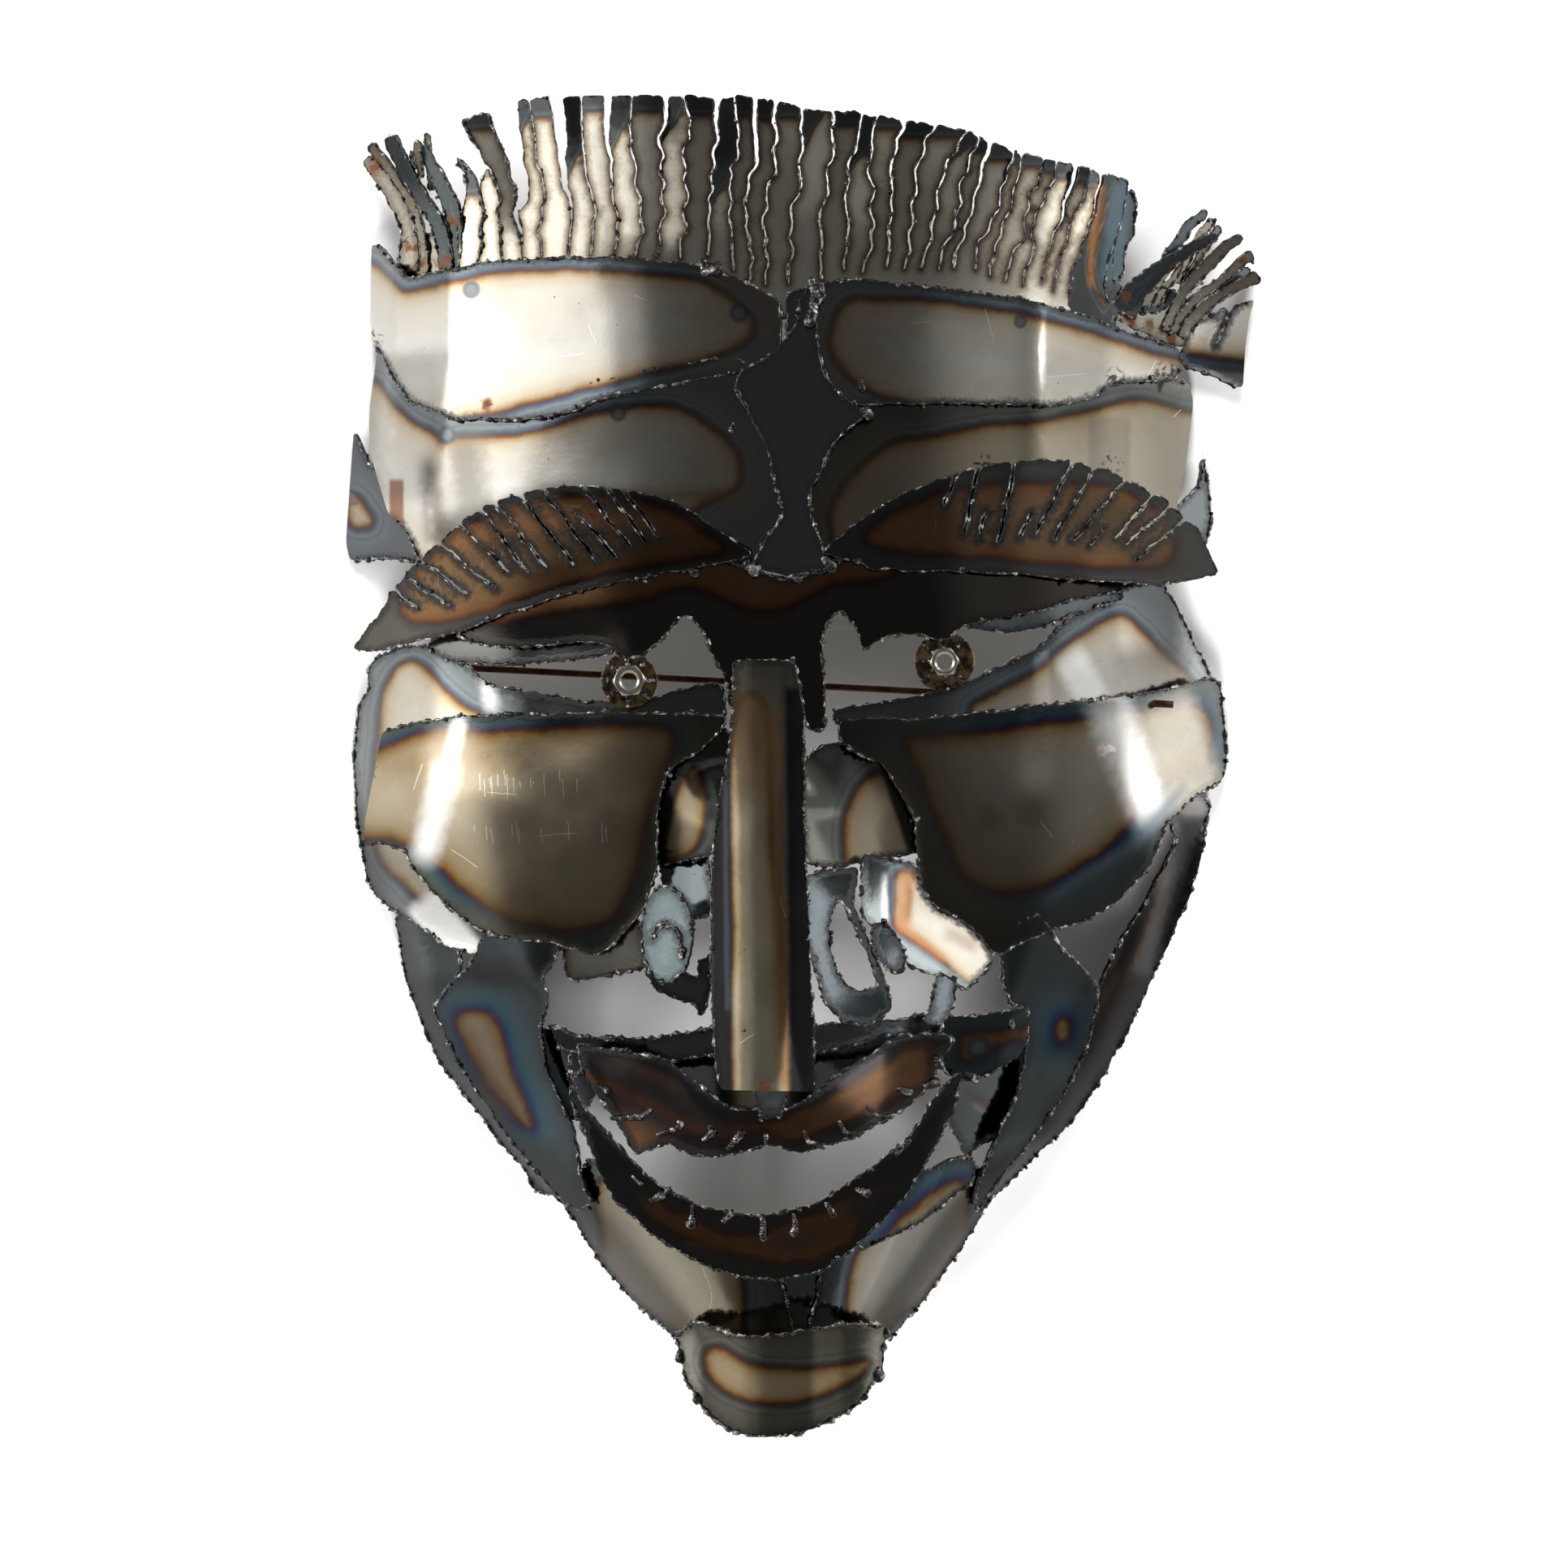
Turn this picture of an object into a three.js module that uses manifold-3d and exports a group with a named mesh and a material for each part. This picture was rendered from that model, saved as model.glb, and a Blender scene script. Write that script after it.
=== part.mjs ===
// A face mask of torch-cut, bent and welded steel sheet, lying face up on its back rim.
// The face looks along +Z, the hair points along +Y and the mask's own left is at +X.

import * as THREE from 'three';
import { mergeVertices } from 'three/addons/utils/BufferGeometryUtils.js';
import Module from 'manifold-3d';

const wasm = await Module();
wasm.setup();

// Driving dimensions in millimetres
const traceUnit = 0.353;
const sheetThickness = 1.5;
const weldGap = 0.3;
const slitWidth = 1.3;
const tackRadius = 2.6;
const rodDiameter = 3.2;
const rodHeight = 66;
const nutThickness = 5.2;
const nutBore = 7.4;
const layerStep = 3.2;

// Outlines are traced on the front view in units of traceUnit, x to the right and y down the face
const traceMiddle = [965, 945];

// Height of the lowest layer of plates along the middle of the face, by trace y
const middleHeights = [
  [100, 88], [320, 96], [500, 103], [700, 107], [900, 110], [1100, 112],
  [1300, 111], [1450, 108], [1560, 103], [1650, 88], [1780, 66],
];

// The back rim, where the lowest layer meets the floor, by trace y
const rimLeft = [
  [100, 474], [420, 476], [500, 466], [560, 450], [600, 440], [1000, 436], [1060, 450], [1110, 470],
  [1150, 484], [1210, 493], [1268, 516], [1332, 546], [1404, 602], [1475, 655], [1500, 692],
  [1560, 735], [1598, 770], [1655, 838], [1790, 880],
];
const rimRight = [
  [100, 1462], [400, 1456], [560, 1454], [700, 1476], [830, 1490], [960, 1496], [1000, 1496],
  [1100, 1476], [1219, 1420], [1335, 1362], [1400, 1316], [1490, 1216], [1550, 1182], [1627, 1118],
  [1700, 1098], [1790, 1030],
];

// Fold lines that the plates of the face share: columns as shares of the way to the rim, and rows
const foldColumns = [
  -1.05, -1, -0.93, -0.8, -0.62, -0.35, 0, 0.35, 0.62, 0.8, 0.93, 1, 1.05,
];
const foldRows = [
  260, 430, 620, 800, 1000, 1210, 1310, 1404, 1500, 1620, 1700, 1800,
];

const bareSteel = { color: 0x8d8778, roughness: 0.34, metalness: 1 };
const blueSteel = { color: 0x2f3c46, roughness: 0.3, metalness: 1 };
const brownSteel = { color: 0x4a3524, roughness: 0.36, metalness: 1 };
const blackSteel = { color: 0x1d1f20, roughness: 0.4, metalness: 1 };
const zincSteel = { color: 0xb3ab93, roughness: 0.3, metalness: 1 };

function valueAt(table, position) {
  let index = 1;
  while (index < table.length - 1 && position > table[index][0]) {
    index += 1;
  }
  const [startPosition, startValue] = table[index - 1];
  const [endPosition, endValue] = table[index];
  const share = THREE.MathUtils.clamp((position - startPosition) / (endPosition - startPosition), 0, 1);
  return THREE.MathUtils.lerp(startValue, endValue, share);
}

// How far the rim of a layer lies from the middle at a height on the face
function rimReach(side, y, layer) {
  const rim = valueAt(side < 0 ? rimLeft : rimRight, y);
  return Math.abs(rim - traceMiddle[0]) + (layer * layerStep) / traceUnit;
}

// The face's own bulge: flat in front and steep at the sides, layer by layer outwards
const bulgeSquareness = 3.6;
const bulgeFall = 0.75;
function faceHeight(x, y, layer) {
  const offset = x - traceMiddle[0];
  const share = Math.min(Math.abs(offset) / rimReach(offset, y, layer), 1);
  return (valueAt(middleHeights, y) + layer * layerStep) * (1 - share ** bulgeSquareness) ** bulgeFall;
}

function toMillimetres([x, y]) {
  return new THREE.Vector2((x - traceMiddle[0]) * traceUnit, (traceMiddle[1] - y) * traceUnit);
}

function toSolid(geometry) {
  const bare = geometry.clone();
  bare.deleteAttribute('normal');
  bare.deleteAttribute('uv');
  const merged = mergeVertices(bare, 1e-4);
  return new wasm.Manifold(new wasm.Mesh({
    numProp: 3,
    vertProperties: new Float32Array(merged.attributes.position.array),
    triVerts: new Uint32Array(merged.index.array),
  }));
}

// A tall upright prism over an outline
const prismBottom = -60;
const prismHeight = 400;
function prism(outline) {
  const corners = outline.map(toMillimetres);
  const geometry = new THREE.ExtrudeGeometry(new THREE.Shape(corners), {
    depth: prismHeight,
    bevelEnabled: false,
  });
  geometry.translate(0, 0, prismBottom);
  return toSolid(geometry);
}

function linesAcross(lines, low, high, margin) {
  const first = lines.findLastIndex((line) => line < low - margin);
  const last = lines.findIndex((line) => line > high + margin);
  return lines.slice(Math.max(first, 0), last < 0 ? lines.length : last + 1);
}

function evenLines(low, high, step) {
  const count = Math.max(1, Math.ceil((high - low) / step));
  return Array.from({ length: count + 1 }, (_, index) => low + ((high - low) * index) / count);
}

// A point on the front of a plate and the normal there
const slopeReach = 4;
function netPoint(x, y, height) {
  const place = toMillimetres([x, y]);
  const span = 2 * slopeReach * traceUnit;
  const slopeX = (height(x + slopeReach, y) - height(x - slopeReach, y)) / span;
  const slopeY = (height(x, y - slopeReach) - height(x, y + slopeReach)) / span;
  const normal = new THREE.Vector3(-slopeX, -slopeY, 1).normalize();
  return { front: new THREE.Vector3(place.x, place.y, height(x, y)), normal };
}

// The net of fold lines under one plate: on the shared lines of a layer, or on even steps of its own
const netMargin = 6;
const shareMargin = 0.004;
function makeNet(outline, height, { step, layer = 0 }) {
  const ys = outline.map(([, y]) => y);
  const [top, bottom] = [Math.min(...ys), Math.max(...ys)];
  if (step) {
    const xs = outline.map(([x]) => x);
    const columns = evenLines(Math.min(...xs) - netMargin, Math.max(...xs) + netMargin, step[0]);
    const rows = evenLines(top - netMargin, bottom + netMargin, step[1]);
    return rows.map((y) => columns.map((x) => netPoint(x, y, height)));
  }
  const [middleX] = traceMiddle;
  const shares = outline.map(([x, y]) => (x - middleX) / rimReach(x - middleX, y, layer));
  const columns = linesAcross(foldColumns, Math.min(...shares), Math.max(...shares), shareMargin);
  const rows = linesAcross(foldRows, top, bottom, 2);
  return rows.map((y) => columns.map((share) => {
    const x = middleX + share * rimReach(share, y, layer);
    return netPoint(x, y, height);
  }));
}

// A closed block between two sheets of points over the same net
function blockBetween(upper, lower) {
  const rowCount = upper.length;
  const columnCount = upper[0].length;
  const positions = [];
  [...upper.flat(), ...lower.flat()].forEach((point) => positions.push(point.x, point.y, point.z));
  const under = rowCount * columnCount;
  const at = (row, column) => row * columnCount + column;
  const faces = [];
  const addQuad = (a, b, c, d) => faces.push(a, b, c, a, c, d);
  for (let row = 0; row < rowCount - 1; row += 1) {
    for (let column = 0; column < columnCount - 1; column += 1) {
      const corners = [
        at(row, column), at(row + 1, column), at(row + 1, column + 1), at(row, column + 1),
      ];
      addQuad(...corners);
      const [a, b, c, d] = corners.map((corner) => corner + under);
      faces.push(a, c, b, a, d, c);
    }
  }
  for (let row = 0; row < rowCount - 1; row += 1) {
    const last = columnCount - 1;
    addQuad(at(row, 0), at(row, 0) + under, at(row + 1, 0) + under, at(row + 1, 0));
    addQuad(at(row + 1, last), at(row + 1, last) + under, at(row, last) + under, at(row, last));
  }
  for (let column = 0; column < columnCount - 1; column += 1) {
    const last = rowCount - 1;
    addQuad(at(0, column + 1), at(0, column + 1) + under, at(0, column) + under, at(0, column));
    addQuad(at(last, column), at(last, column) + under, at(last, column + 1) + under,
      at(last, column + 1));
  }
  const geometry = new THREE.BufferGeometry();
  geometry.setAttribute('position', new THREE.Float32BufferAttribute(positions, 3));
  geometry.setIndex(faces);
  return toSolid(geometry);
}

function raised(net, rise) {
  return net.map((row) => row.map(({ front, normal }) => front.clone().addScaledVector(normal, rise)));
}

function flattened(net, height) {
  return net.map((row) => row.map(({ front }) => new THREE.Vector3(front.x, front.y, height)));
}

// Everything under, or over, a plate's front when that is moved outwards by rise
function under(plate, rise) {
  return blockBetween(raised(plate.net, rise), flattened(plate.net, prismBottom));
}

function over(plate, rise) {
  return blockBetween(flattened(plate.net, prismBottom + prismHeight), raised(plate.net, rise));
}

// A straight or bent slit cut by the torch through points of its middle line
function slitOutline(points) {
  const half = slitWidth / traceUnit / 2;
  const sides = points.map((point, index) => {
    const before = points[Math.max(index - 1, 0)];
    const after = points[Math.min(index + 1, points.length - 1)];
    const along = new THREE.Vector2(after[0] - before[0], after[1] - before[1]).normalize();
    return [[point[0] - along.y * half, point[1] + along.x * half],
      [point[0] + along.y * half, point[1] - along.x * half]];
  });
  return [...sides.map(([first]) => first), ...sides.map(([, second]) => second).reverse()];
}

const plates = {};

// One bent sheet: an outline, the height of its front, and the holes and slits in it
function addPlate(name, finish, outline, height, { step, holes = [], slits = [] } = {}) {
  const net = makeNet(outline, height, { step, layer: height.layer });
  const sheet = blockBetween(raised(net, 0), raised(net, -sheetThickness));
  let solid = sheet.intersect(prism(outline));
  [...holes, ...slits.map(slitOutline)].forEach((hole) => {
    solid = solid.subtract(prism(hole));
  });
  plates[name] = { net, solid, finish };
}

// A further tongue of the same sheet, joined where both have nearly the same height
const tongueSink = 0.1;
function addTongue(name, outline, height, step) {
  const net = makeNet(outline, height, { step });
  const sheet = blockBetween(raised(net, 0), raised(net, -sheetThickness));
  plates[name].solid = plates[name].solid.add(sheet.intersect(prism(outline)));
}

function discOutline([x, y], radius, sides) {
  return Array.from({ length: sides }, (_, index) => {
    const angle = (2 * Math.PI * (index + 0.5)) / sides;
    return [x + radius * Math.cos(angle), y + radius * Math.sin(angle)];
  });
}

// A weld tack behind the upper plate that reaches down to the lower one
function addTack(upperName, lowerName, place, radius = tackRadius) {
  const upper = plates[upperName];
  const lower = plates[lowerName];
  const post = prism(discOutline(place, radius / traceUnit, 3));
  const tack = post
    .intersect(under(upper, -sheetThickness / 2))
    .subtract(under(lower, weldGap));
  upper.solid = upper.solid.add(tack);
}

// Shapes a plate's front can have: on the face, level, or sloping across or down the face
const onFace = (layer, extra = 0) => Object.assign((x, y) => faceHeight(x, y, layer) + extra, { layer });
const level = (height) => () => height;
const slopingAcross = (startX, height, slope) => (x) => height + (x - startX) * slope;
const slopingDown = (startY, height, slope) => (x, y) => height + (y - startY) * slope;

// Layers of the face, counted outwards from the back rim
const rimLayer = 0;
const backLayer = 1;
const lowerLayer = 2;
const frontLayer = 3;
const ridgeLayer = 4.6;
const starLayer = 5.2;

// Forehead
addPlate('forehead_lower_left', bareSteel, [
  [460, 425], [505, 440], [560, 480], [650, 490], [850, 448], [905, 440], [966, 470], [966, 690],
  [860, 700], [700, 690], [600, 690], [520, 700], [500, 655], [475, 630], [450, 550], [450, 500],
], onFace(lowerLayer));
addPlate('forehead_lower_right', bareSteel, [
  [971, 470], [1240, 470], [1330, 468], [1400, 448], [1436, 452], [1452, 466], [1471, 466],
  [1476, 490], [1466, 570], [1440, 680], [1300, 690], [1100, 695], [971, 690],
], onFace(lowerLayer));
addPlate('forehead_upper_left', bareSteel, [
  [452, 293], [465, 298], [478, 315], [500, 338], [560, 330], [600, 322], [700, 318], [780, 320],
  [870, 328], [930, 355], [962, 372], [962, 440], [905, 462], [850, 470], [750, 490], [700, 510],
  [650, 518], [560, 516], [505, 495], [485, 470], [462, 425], [452, 420],
], onFace(frontLayer));
addPlate('forehead_upper_right', bareSteel, [
  [970, 366], [1005, 350], [1060, 345], [1250, 367], [1340, 388], [1380, 405], [1458, 425],
  [1460, 445], [1450, 465], [1380, 470], [1340, 492], [1300, 500], [1150, 498], [1040, 500],
  [970, 470],
], onFace(frontLayer));
addPlate('forehead_centre', blackSteel, [
  [1000, 350], [985, 375], [980, 405], [955, 435], [912, 462], [905, 478], [918, 500], [930, 528],
  [950, 565], [957, 610], [966, 635], [950, 655], [925, 700], [975, 712], [1020, 700], [998, 630],
  [998, 605], [1010, 585], [1025, 548], [1068, 510], [1040, 493], [1018, 465], [1010, 440],
  [1002, 395],
], onFace(starLayer), { step: [180, 180] });

// Temples
const templeFoot = 2;
addPlate('temple_left', bareSteel, [
  [430, 526], [440, 545], [450, 570], [500, 580], [540, 640], [535, 670], [517, 690], [470, 685],
  [425, 688], [420, 665],
], slopingAcross(421, templeFoot, 0.48), { step: [70, 180] });
addPlate('temple_right', brownSteel, [
  [1489, 560], [1496, 600], [1498, 640], [1492, 668], [1483, 655], [1472, 652], [1436, 650],
  [1434, 640], [1470, 608], [1484, 590],
], slopingAcross(1498, templeFoot, -0.494), { step: [40, 120] });

// Cheeks and jaw
addPlate('jaw_left', bareSteel, [
  [480, 1134], [493, 1124], [560, 1150], [565, 1190], [560, 1225], [560, 1260], [590, 1330],
  [640, 1400], [730, 1500], [739, 1557], [696, 1493], [679, 1475], [657, 1475], [646, 1450],
  [607, 1404], [532, 1307], [504, 1236], [493, 1200], [486, 1150],
], onFace(rimLayer));
addPlate('jaw_right', brownSteel, [
  [1496, 990], [1489, 1045], [1472, 1103], [1445, 1165], [1387, 1286], [1360, 1335], [1320, 1393],
  [1298, 1411], [1244, 1464], [1208, 1496], [1204, 1486], [1240, 1446], [1275, 1402],
  [1311, 1345], [1335, 1286], [1346, 1240], [1373, 1179], [1436, 1076], [1454, 1040], [1440, 990],
  [1470, 970],
], onFace(rimLayer));
addPlate('cheek_back_left', bareSteel, [
  [459, 809], [448, 823], [450, 844], [439, 869], [434, 894], [430, 930], [434, 1012],
  [446, 1082], [457, 1104], [482, 1123], [529, 1150], [546, 1166], [588, 1177], [618, 1155],
  [640, 1120], [560, 1060], [560, 930], [860, 925], [895, 884], [893, 848], [879, 841],
  [836, 851], [793, 864], [757, 866], [714, 864], [650, 851], [607, 846], [568, 814], [521, 794],
  [490, 796],
], onFace(backLayer));
addPlate('cheek_back_right', bareSteel, [
  [1025, 875], [1132, 858], [1174, 848], [1243, 818], [1278, 799], [1304, 772], [1324, 757],
  [1362, 743], [1392, 712], [1430, 706], [1492, 818], [1500, 845], [1480, 900], [1300, 920],
  [1120, 912], [1035, 900],
], onFace(backLayer));
addPlate('cheek_lower_left', blueSteel, [
  [530, 1245], [554, 1214], [579, 1189], [600, 1140], [690, 1140], [687, 1179], [671, 1204],
  [675, 1229], [666, 1270], [671, 1307], [704, 1386], [718, 1461], [727, 1486], [711, 1496],
  [686, 1475], [629, 1411], [571, 1325], [550, 1286], [539, 1257],
], onFace(lowerLayer));
addPlate('cheek_lower_right', blueSteel, [
  [1232, 1150], [1280, 1125], [1306, 1165], [1333, 1192], [1356, 1219], [1351, 1250],
  [1342, 1286], [1311, 1353], [1275, 1402], [1239, 1446], [1206, 1496], [1202, 1478],
  [1213, 1438], [1253, 1348], [1266, 1286], [1266, 1243], [1244, 1237], [1235, 1214],
], onFace(lowerLayer));
addPlate('cheek_left', bareSteel, [
  [468, 901], [507, 891], [561, 884], [629, 880], [775, 878], [896, 882], [895, 894], [861, 926],
  [836, 941], [821, 955], [809, 1001], [812, 1030], [811, 1071], [793, 1118], [775, 1143],
  [757, 1164], [736, 1177], [686, 1162], [614, 1154], [586, 1143], [561, 1125], [521, 1086],
  [502, 1061], [500, 1048], [464, 1039], [445, 1045], [446, 1012],
], onFace(frontLayer));
addPlate('cheek_right', bareSteel, [
  [1033, 889], [1086, 885], [1132, 887], [1400, 856], [1450, 846], [1496, 833], [1505, 833],
  [1511, 860], [1517, 929], [1515, 952], [1503, 969], [1473, 982], [1438, 1017], [1418, 1067],
  [1382, 1107], [1342, 1134], [1289, 1147], [1230, 1176], [1146, 1134], [1132, 1089],
  [1130, 1044], [1125, 1005], [1090, 944], [1056, 929], [1033, 910],
], onFace(frontLayer));

// Brows and the ridge under them
addPlate('brow_ridge', brownSteel, [
  [561, 784], [600, 796], [657, 798], [721, 791], [757, 798], [764, 812], [786, 812], [811, 794],
  [829, 773], [846, 757], [864, 773], [882, 816], [893, 834], [900, 873], [912, 873], [915, 835],
  [985, 835], [995, 900], [1018, 900], [1012, 787], [1021, 762], [1037, 753], [1052, 772],
  [1063, 804], [1075, 793], [1098, 783], [1140, 782], [1150, 790], [1172, 788], [1180, 772],
  [1281, 753], [1324, 737], [1373, 730], [1419, 718], [1380, 698], [1050, 684], [1020, 702],
  [970, 716], [920, 702], [880, 684], [760, 702], [650, 736],
], onFace(ridgeLayer));
const browProfile = [
  [425, 60], [520, 91], [620, 113], [760, 125], [965, 130], [1150, 128], [1290, 116], [1400, 96],
  [1510, 70],
];
const browLean = 0.1;
const browFoot = 800;
const browHeight = (x, y) => valueAt(browProfile, x) - browLean * traceUnit * (browFoot - y);
addPlate('brow_left', brownSteel, [
  [432, 800], [450, 775], [475, 745], [480, 730], [515, 690], [590, 628], [640, 610], [690, 600],
  [740, 600], [830, 617], [930, 685], [905, 692], [757, 719], [686, 737], [614, 760], [568, 778],
  [457, 803],
], browHeight, {
  step: [100, 240],
  slits: [
    [[482, 725], [515, 749]], [[498, 710], [557, 748]],
    [[514, 690], [578, 733]], [[540, 668], [614, 728]],
    [[566, 647], [630, 706]], [[591, 626], [653, 708]],
    [[610, 618], [675, 702]], [[640, 608], [711, 699]],
    [[665, 600], [739, 695]], [[710, 630], [760, 689]],
    [[716, 596], [779, 677]], [[745, 596], [798, 672]],
    [[764, 600], [813, 664]],
  ],
});
addPlate('brow_right', brownSteel, [
  [1013, 683], [1055, 645], [1100, 615], [1195, 578], [1265, 568], [1320, 568], [1360, 578],
  [1430, 612], [1455, 630], [1480, 655], [1503, 705], [1480, 712], [1430, 722], [1250, 708],
  [1085, 703],
], browHeight, {
  step: [100, 240],
  slits: [
    [[1178, 580], [1163, 627]], [[1205, 572], [1186, 663]], [[1214, 627], [1205, 669]],
    [[1251, 564], [1228, 674]], [[1272, 629], [1254, 665]],
    [[1325, 564], [1272, 663]], [[1352, 570], [1296, 669]],
    [[1388, 590], [1319, 669]], [[1363, 648], [1340, 676]],
    [[1425, 604], [1373, 665]], [[1450, 620], [1384, 674]],
    [[1466, 636], [1397, 690]],
  ],
});
const lidLayer = 2.4;
addPlate('lid_left', blueSteel, [
  [525, 792], [532, 805], [561, 816], [650, 819], [704, 814], [757, 805], [757, 780], [657, 780],
  [575, 770],
], onFace(lidLayer));
addPlate('lid_right', blueSteel, [
  [1190, 774], [1243, 780], [1278, 774], [1320, 758], [1385, 737], [1380, 712], [1281, 730],
  [1190, 752],
], onFace(lidLayer));

// Nose
const noseTop = 814;
const noseTip = 1341;
const noseMiddle = 941;
const noseReach = 62;
const noseCrown = 6;
const noseRoot = 128.4;
const noseRise = 44;
const noseHeight = (x, y) => noseRoot + noseRise * ((y - noseTop) / (noseTip - noseTop))
  - noseCrown * ((x - noseMiddle) / noseReach) ** 2;
addPlate('nose_bar', bareSteel, [
  [905, noseTop], [900, 900], [893, 960], [884, 1000], [878, 1063], [876, 1189], [882, 1303],
  [888, noseTip - 2], [1003, noseTip], [1002, 1253], [996, 1139], [991, 1000], [990, 880],
  [980, noseTop],
], noseHeight, { step: [46, 300] });
const sideFoot = 113.6;
const sideRises = [[949, 3], [1009, 27]];
const sideShape = (share, y) => sideFoot + valueAt(sideRises, y) * Math.max(share, 0) ** 2;
const noseSideLeft = (x, y) => sideShape((x - 800) / 100, y);
const noseSideRight = (x, y) => sideShape((1150 - x) / 165, y);
addPlate('nose_side_left', blueSteel, [
  [896, 894], [903, 930], [896, 1000], [885, 1040], [875, 1056], [811, 1066], [800, 1040],
  [797, 1000], [812, 955], [861, 915],
], noseSideLeft, { step: [40, 90] });
addPlate('nose_side_right', blueSteel, [
  [985, 948], [1002, 925], [1021, 915], [1045, 916], [1098, 944], [1130, 1000], [1140, 1047],
  [1063, 1062], [1017, 1068], [992, 1063],
], noseSideRight, { step: [70, 90] });
addPlate('nose_brace', blackSteel, [
  [925, 1322], [978, 1322], [962, 1374], [938, 1374],
], slopingDown(1322, 164.5, -0.5), { step: [80, 80] });

// Nostrils
const nostrilLeftUpper = (x, y) => noseSideLeft(x, 1000) + slopingDown(1060, -4.5, 0.1)(x, y);
addPlate('nostril_left_upper', bareSteel, [
  [815, 1050], [870, 1046], [880, 1126], [855, 1132], [842, 1105], [817, 1092],
], nostrilLeftUpper, { step: [50, 100] });
const ellipse = ([x, y], [reachX, reachY], turn, sides) => discOutline([0, 0], 1, sides)
  .map(([u, v]) => [
    x + u * reachX * Math.cos(turn) - v * reachY * Math.sin(turn),
    y + u * reachX * Math.sin(turn) + v * reachY * Math.cos(turn),
  ]);
addPlate('nostril_left', bareSteel, ellipse([822, 1150], [32, 61], 0, 12), slopingAcross(790, 121, 0.3), {
  step: [40, 160],
  slits: [[[804, 1160], [808, 1146], [820, 1136], [834, 1142], [841, 1160], [840, 1180]]],
});
addPlate('nostril_left_lobe', brownSteel, [
  [796, 1175], [796, 1193], [804, 1211], [821, 1225], [843, 1234], [860, 1236], [861, 1249],
  [868, 1251], [882, 1190], [882, 1176], [862, 1180], [860, 1206], [846, 1200], [830, 1170],
], level(119), { step: [100, 100] });
addPlate('flange_left', bareSteel, [
  [787, 1130], [796, 1150], [796, 1193], [704, 1209], [696, 1200], [693, 1150], [740, 1150],
  [765, 1135],
], onFace(lowerLayer, -1));
addPlate('nostril_right', bareSteel, [
  [990, 1080], [990, 1150], [1016, 1232], [1039, 1259], [1070, 1261], [1097, 1243], [1092, 1210],
  [1052, 1116], [1056, 1069], [1018, 1069],
], slopingAcross(990, 143, -0.1), {
  step: [60, 200],
  holes: [[
    [1083, 1212], [1061, 1221], [1039, 1210], [1025, 1179], [1021, 1134], [1034, 1106],
    [1042, 1116], [1075, 1190],
  ]],
});
addPlate('nostril_right_wing', bareSteel, [
  [1063, 1050], [1097, 1058], [1126, 1062], [1134, 1094], [1155, 1120], [1190, 1138], [1214, 1160],
  [1224, 1181], [1208, 1201], [1188, 1221], [1168, 1201], [1146, 1201], [1119, 1188], [1092, 1156],
  [1062, 1129], [1060, 1089],
], slopingAcross(1056, 128, -0.03), { step: [90, 200] });
addPlate('nostril_right_oval', blackSteel, ellipse([1094, 1167], [17, 34], -0.45, 12), level(131), {
  step: [60, 100],
});
addPlate('nostril_right_tab', blackSteel, [
  [1164, 1185], [1179, 1205], [1175, 1237], [1159, 1262], [1138, 1262], [1150, 1219], [1156, 1190],
], level(119), { step: [60, 120] });

// Mouth
addPlate('mouth_back', blackSteel, [
  [800, 1283], [876, 1272], [1004, 1268], [1115, 1262], [1110, 1300], [1020, 1368], [860, 1368],
], slopingDown(1262, 102, 0.12), { step: [400, 130] });
addPlate('upper_lip_back', blackSteel, [
  [680, 1263], [716, 1278], [808, 1278], [876, 1267], [1103, 1257], [1150, 1247], [1160, 1272],
  [1086, 1275], [1044, 1290], [1000, 1294], [880, 1298], [800, 1310], [735, 1300], [690, 1290],
], onFace(backLayer));
addPlate('mouth_corner_left', blackSteel, [
  [658, 1266], [690, 1268], [728, 1284], [738, 1340], [716, 1380], [704, 1380], [690, 1352],
  [676, 1330], [660, 1290],
], onFace(rimLayer));
addPlate('mouth_corner_right_lower', bareSteel, [
  [1168, 1340], [1190, 1318], [1272, 1285], [1266, 1358], [1248, 1395], [1221, 1404], [1187, 1425],
  [1183, 1404], [1168, 1385],
], onFace(rimLayer));
addPlate('mouth_corner_right_upper', brownSteel, [
  [1160, 1253], [1200, 1250], [1265, 1242], [1267, 1269], [1259, 1299], [1196, 1332],
  [1160, 1322],
], onFace(frontLayer, -1));
const upperLipProfile = [[700, 118], [830, 129], [941, 135], [1050, 131], [1190, 121]];
const upperLip = (x, y) => slopingDown(1350, valueAt(upperLipProfile, x), 0.018)(x, y);
addPlate('lip_upper', brownSteel, [
  [712, 1286], [808, 1299], [829, 1309], [901, 1364], [968, 1366], [998, 1349], [1040, 1316],
  [1103, 1278], [1137, 1271], [1170, 1274], [1175, 1282], [1153, 1311], [1149, 1332],
  [1116, 1362], [1057, 1396], [1019, 1410], [981, 1417], [943, 1406], [918, 1417], [884, 1423],
  [850, 1419], [825, 1406], [783, 1421], [766, 1387], [730, 1337], [716, 1311],
], upperLip, { step: [100, 160] });
const lowerLipProfile = [[690, 113], [800, 125], [941, 132], [1080, 126], [1195, 114]];
const lowerLip = (x, y) => valueAt(lowerLipProfile, x) - 0.106 * Math.max(y - 1440, 0);
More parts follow.
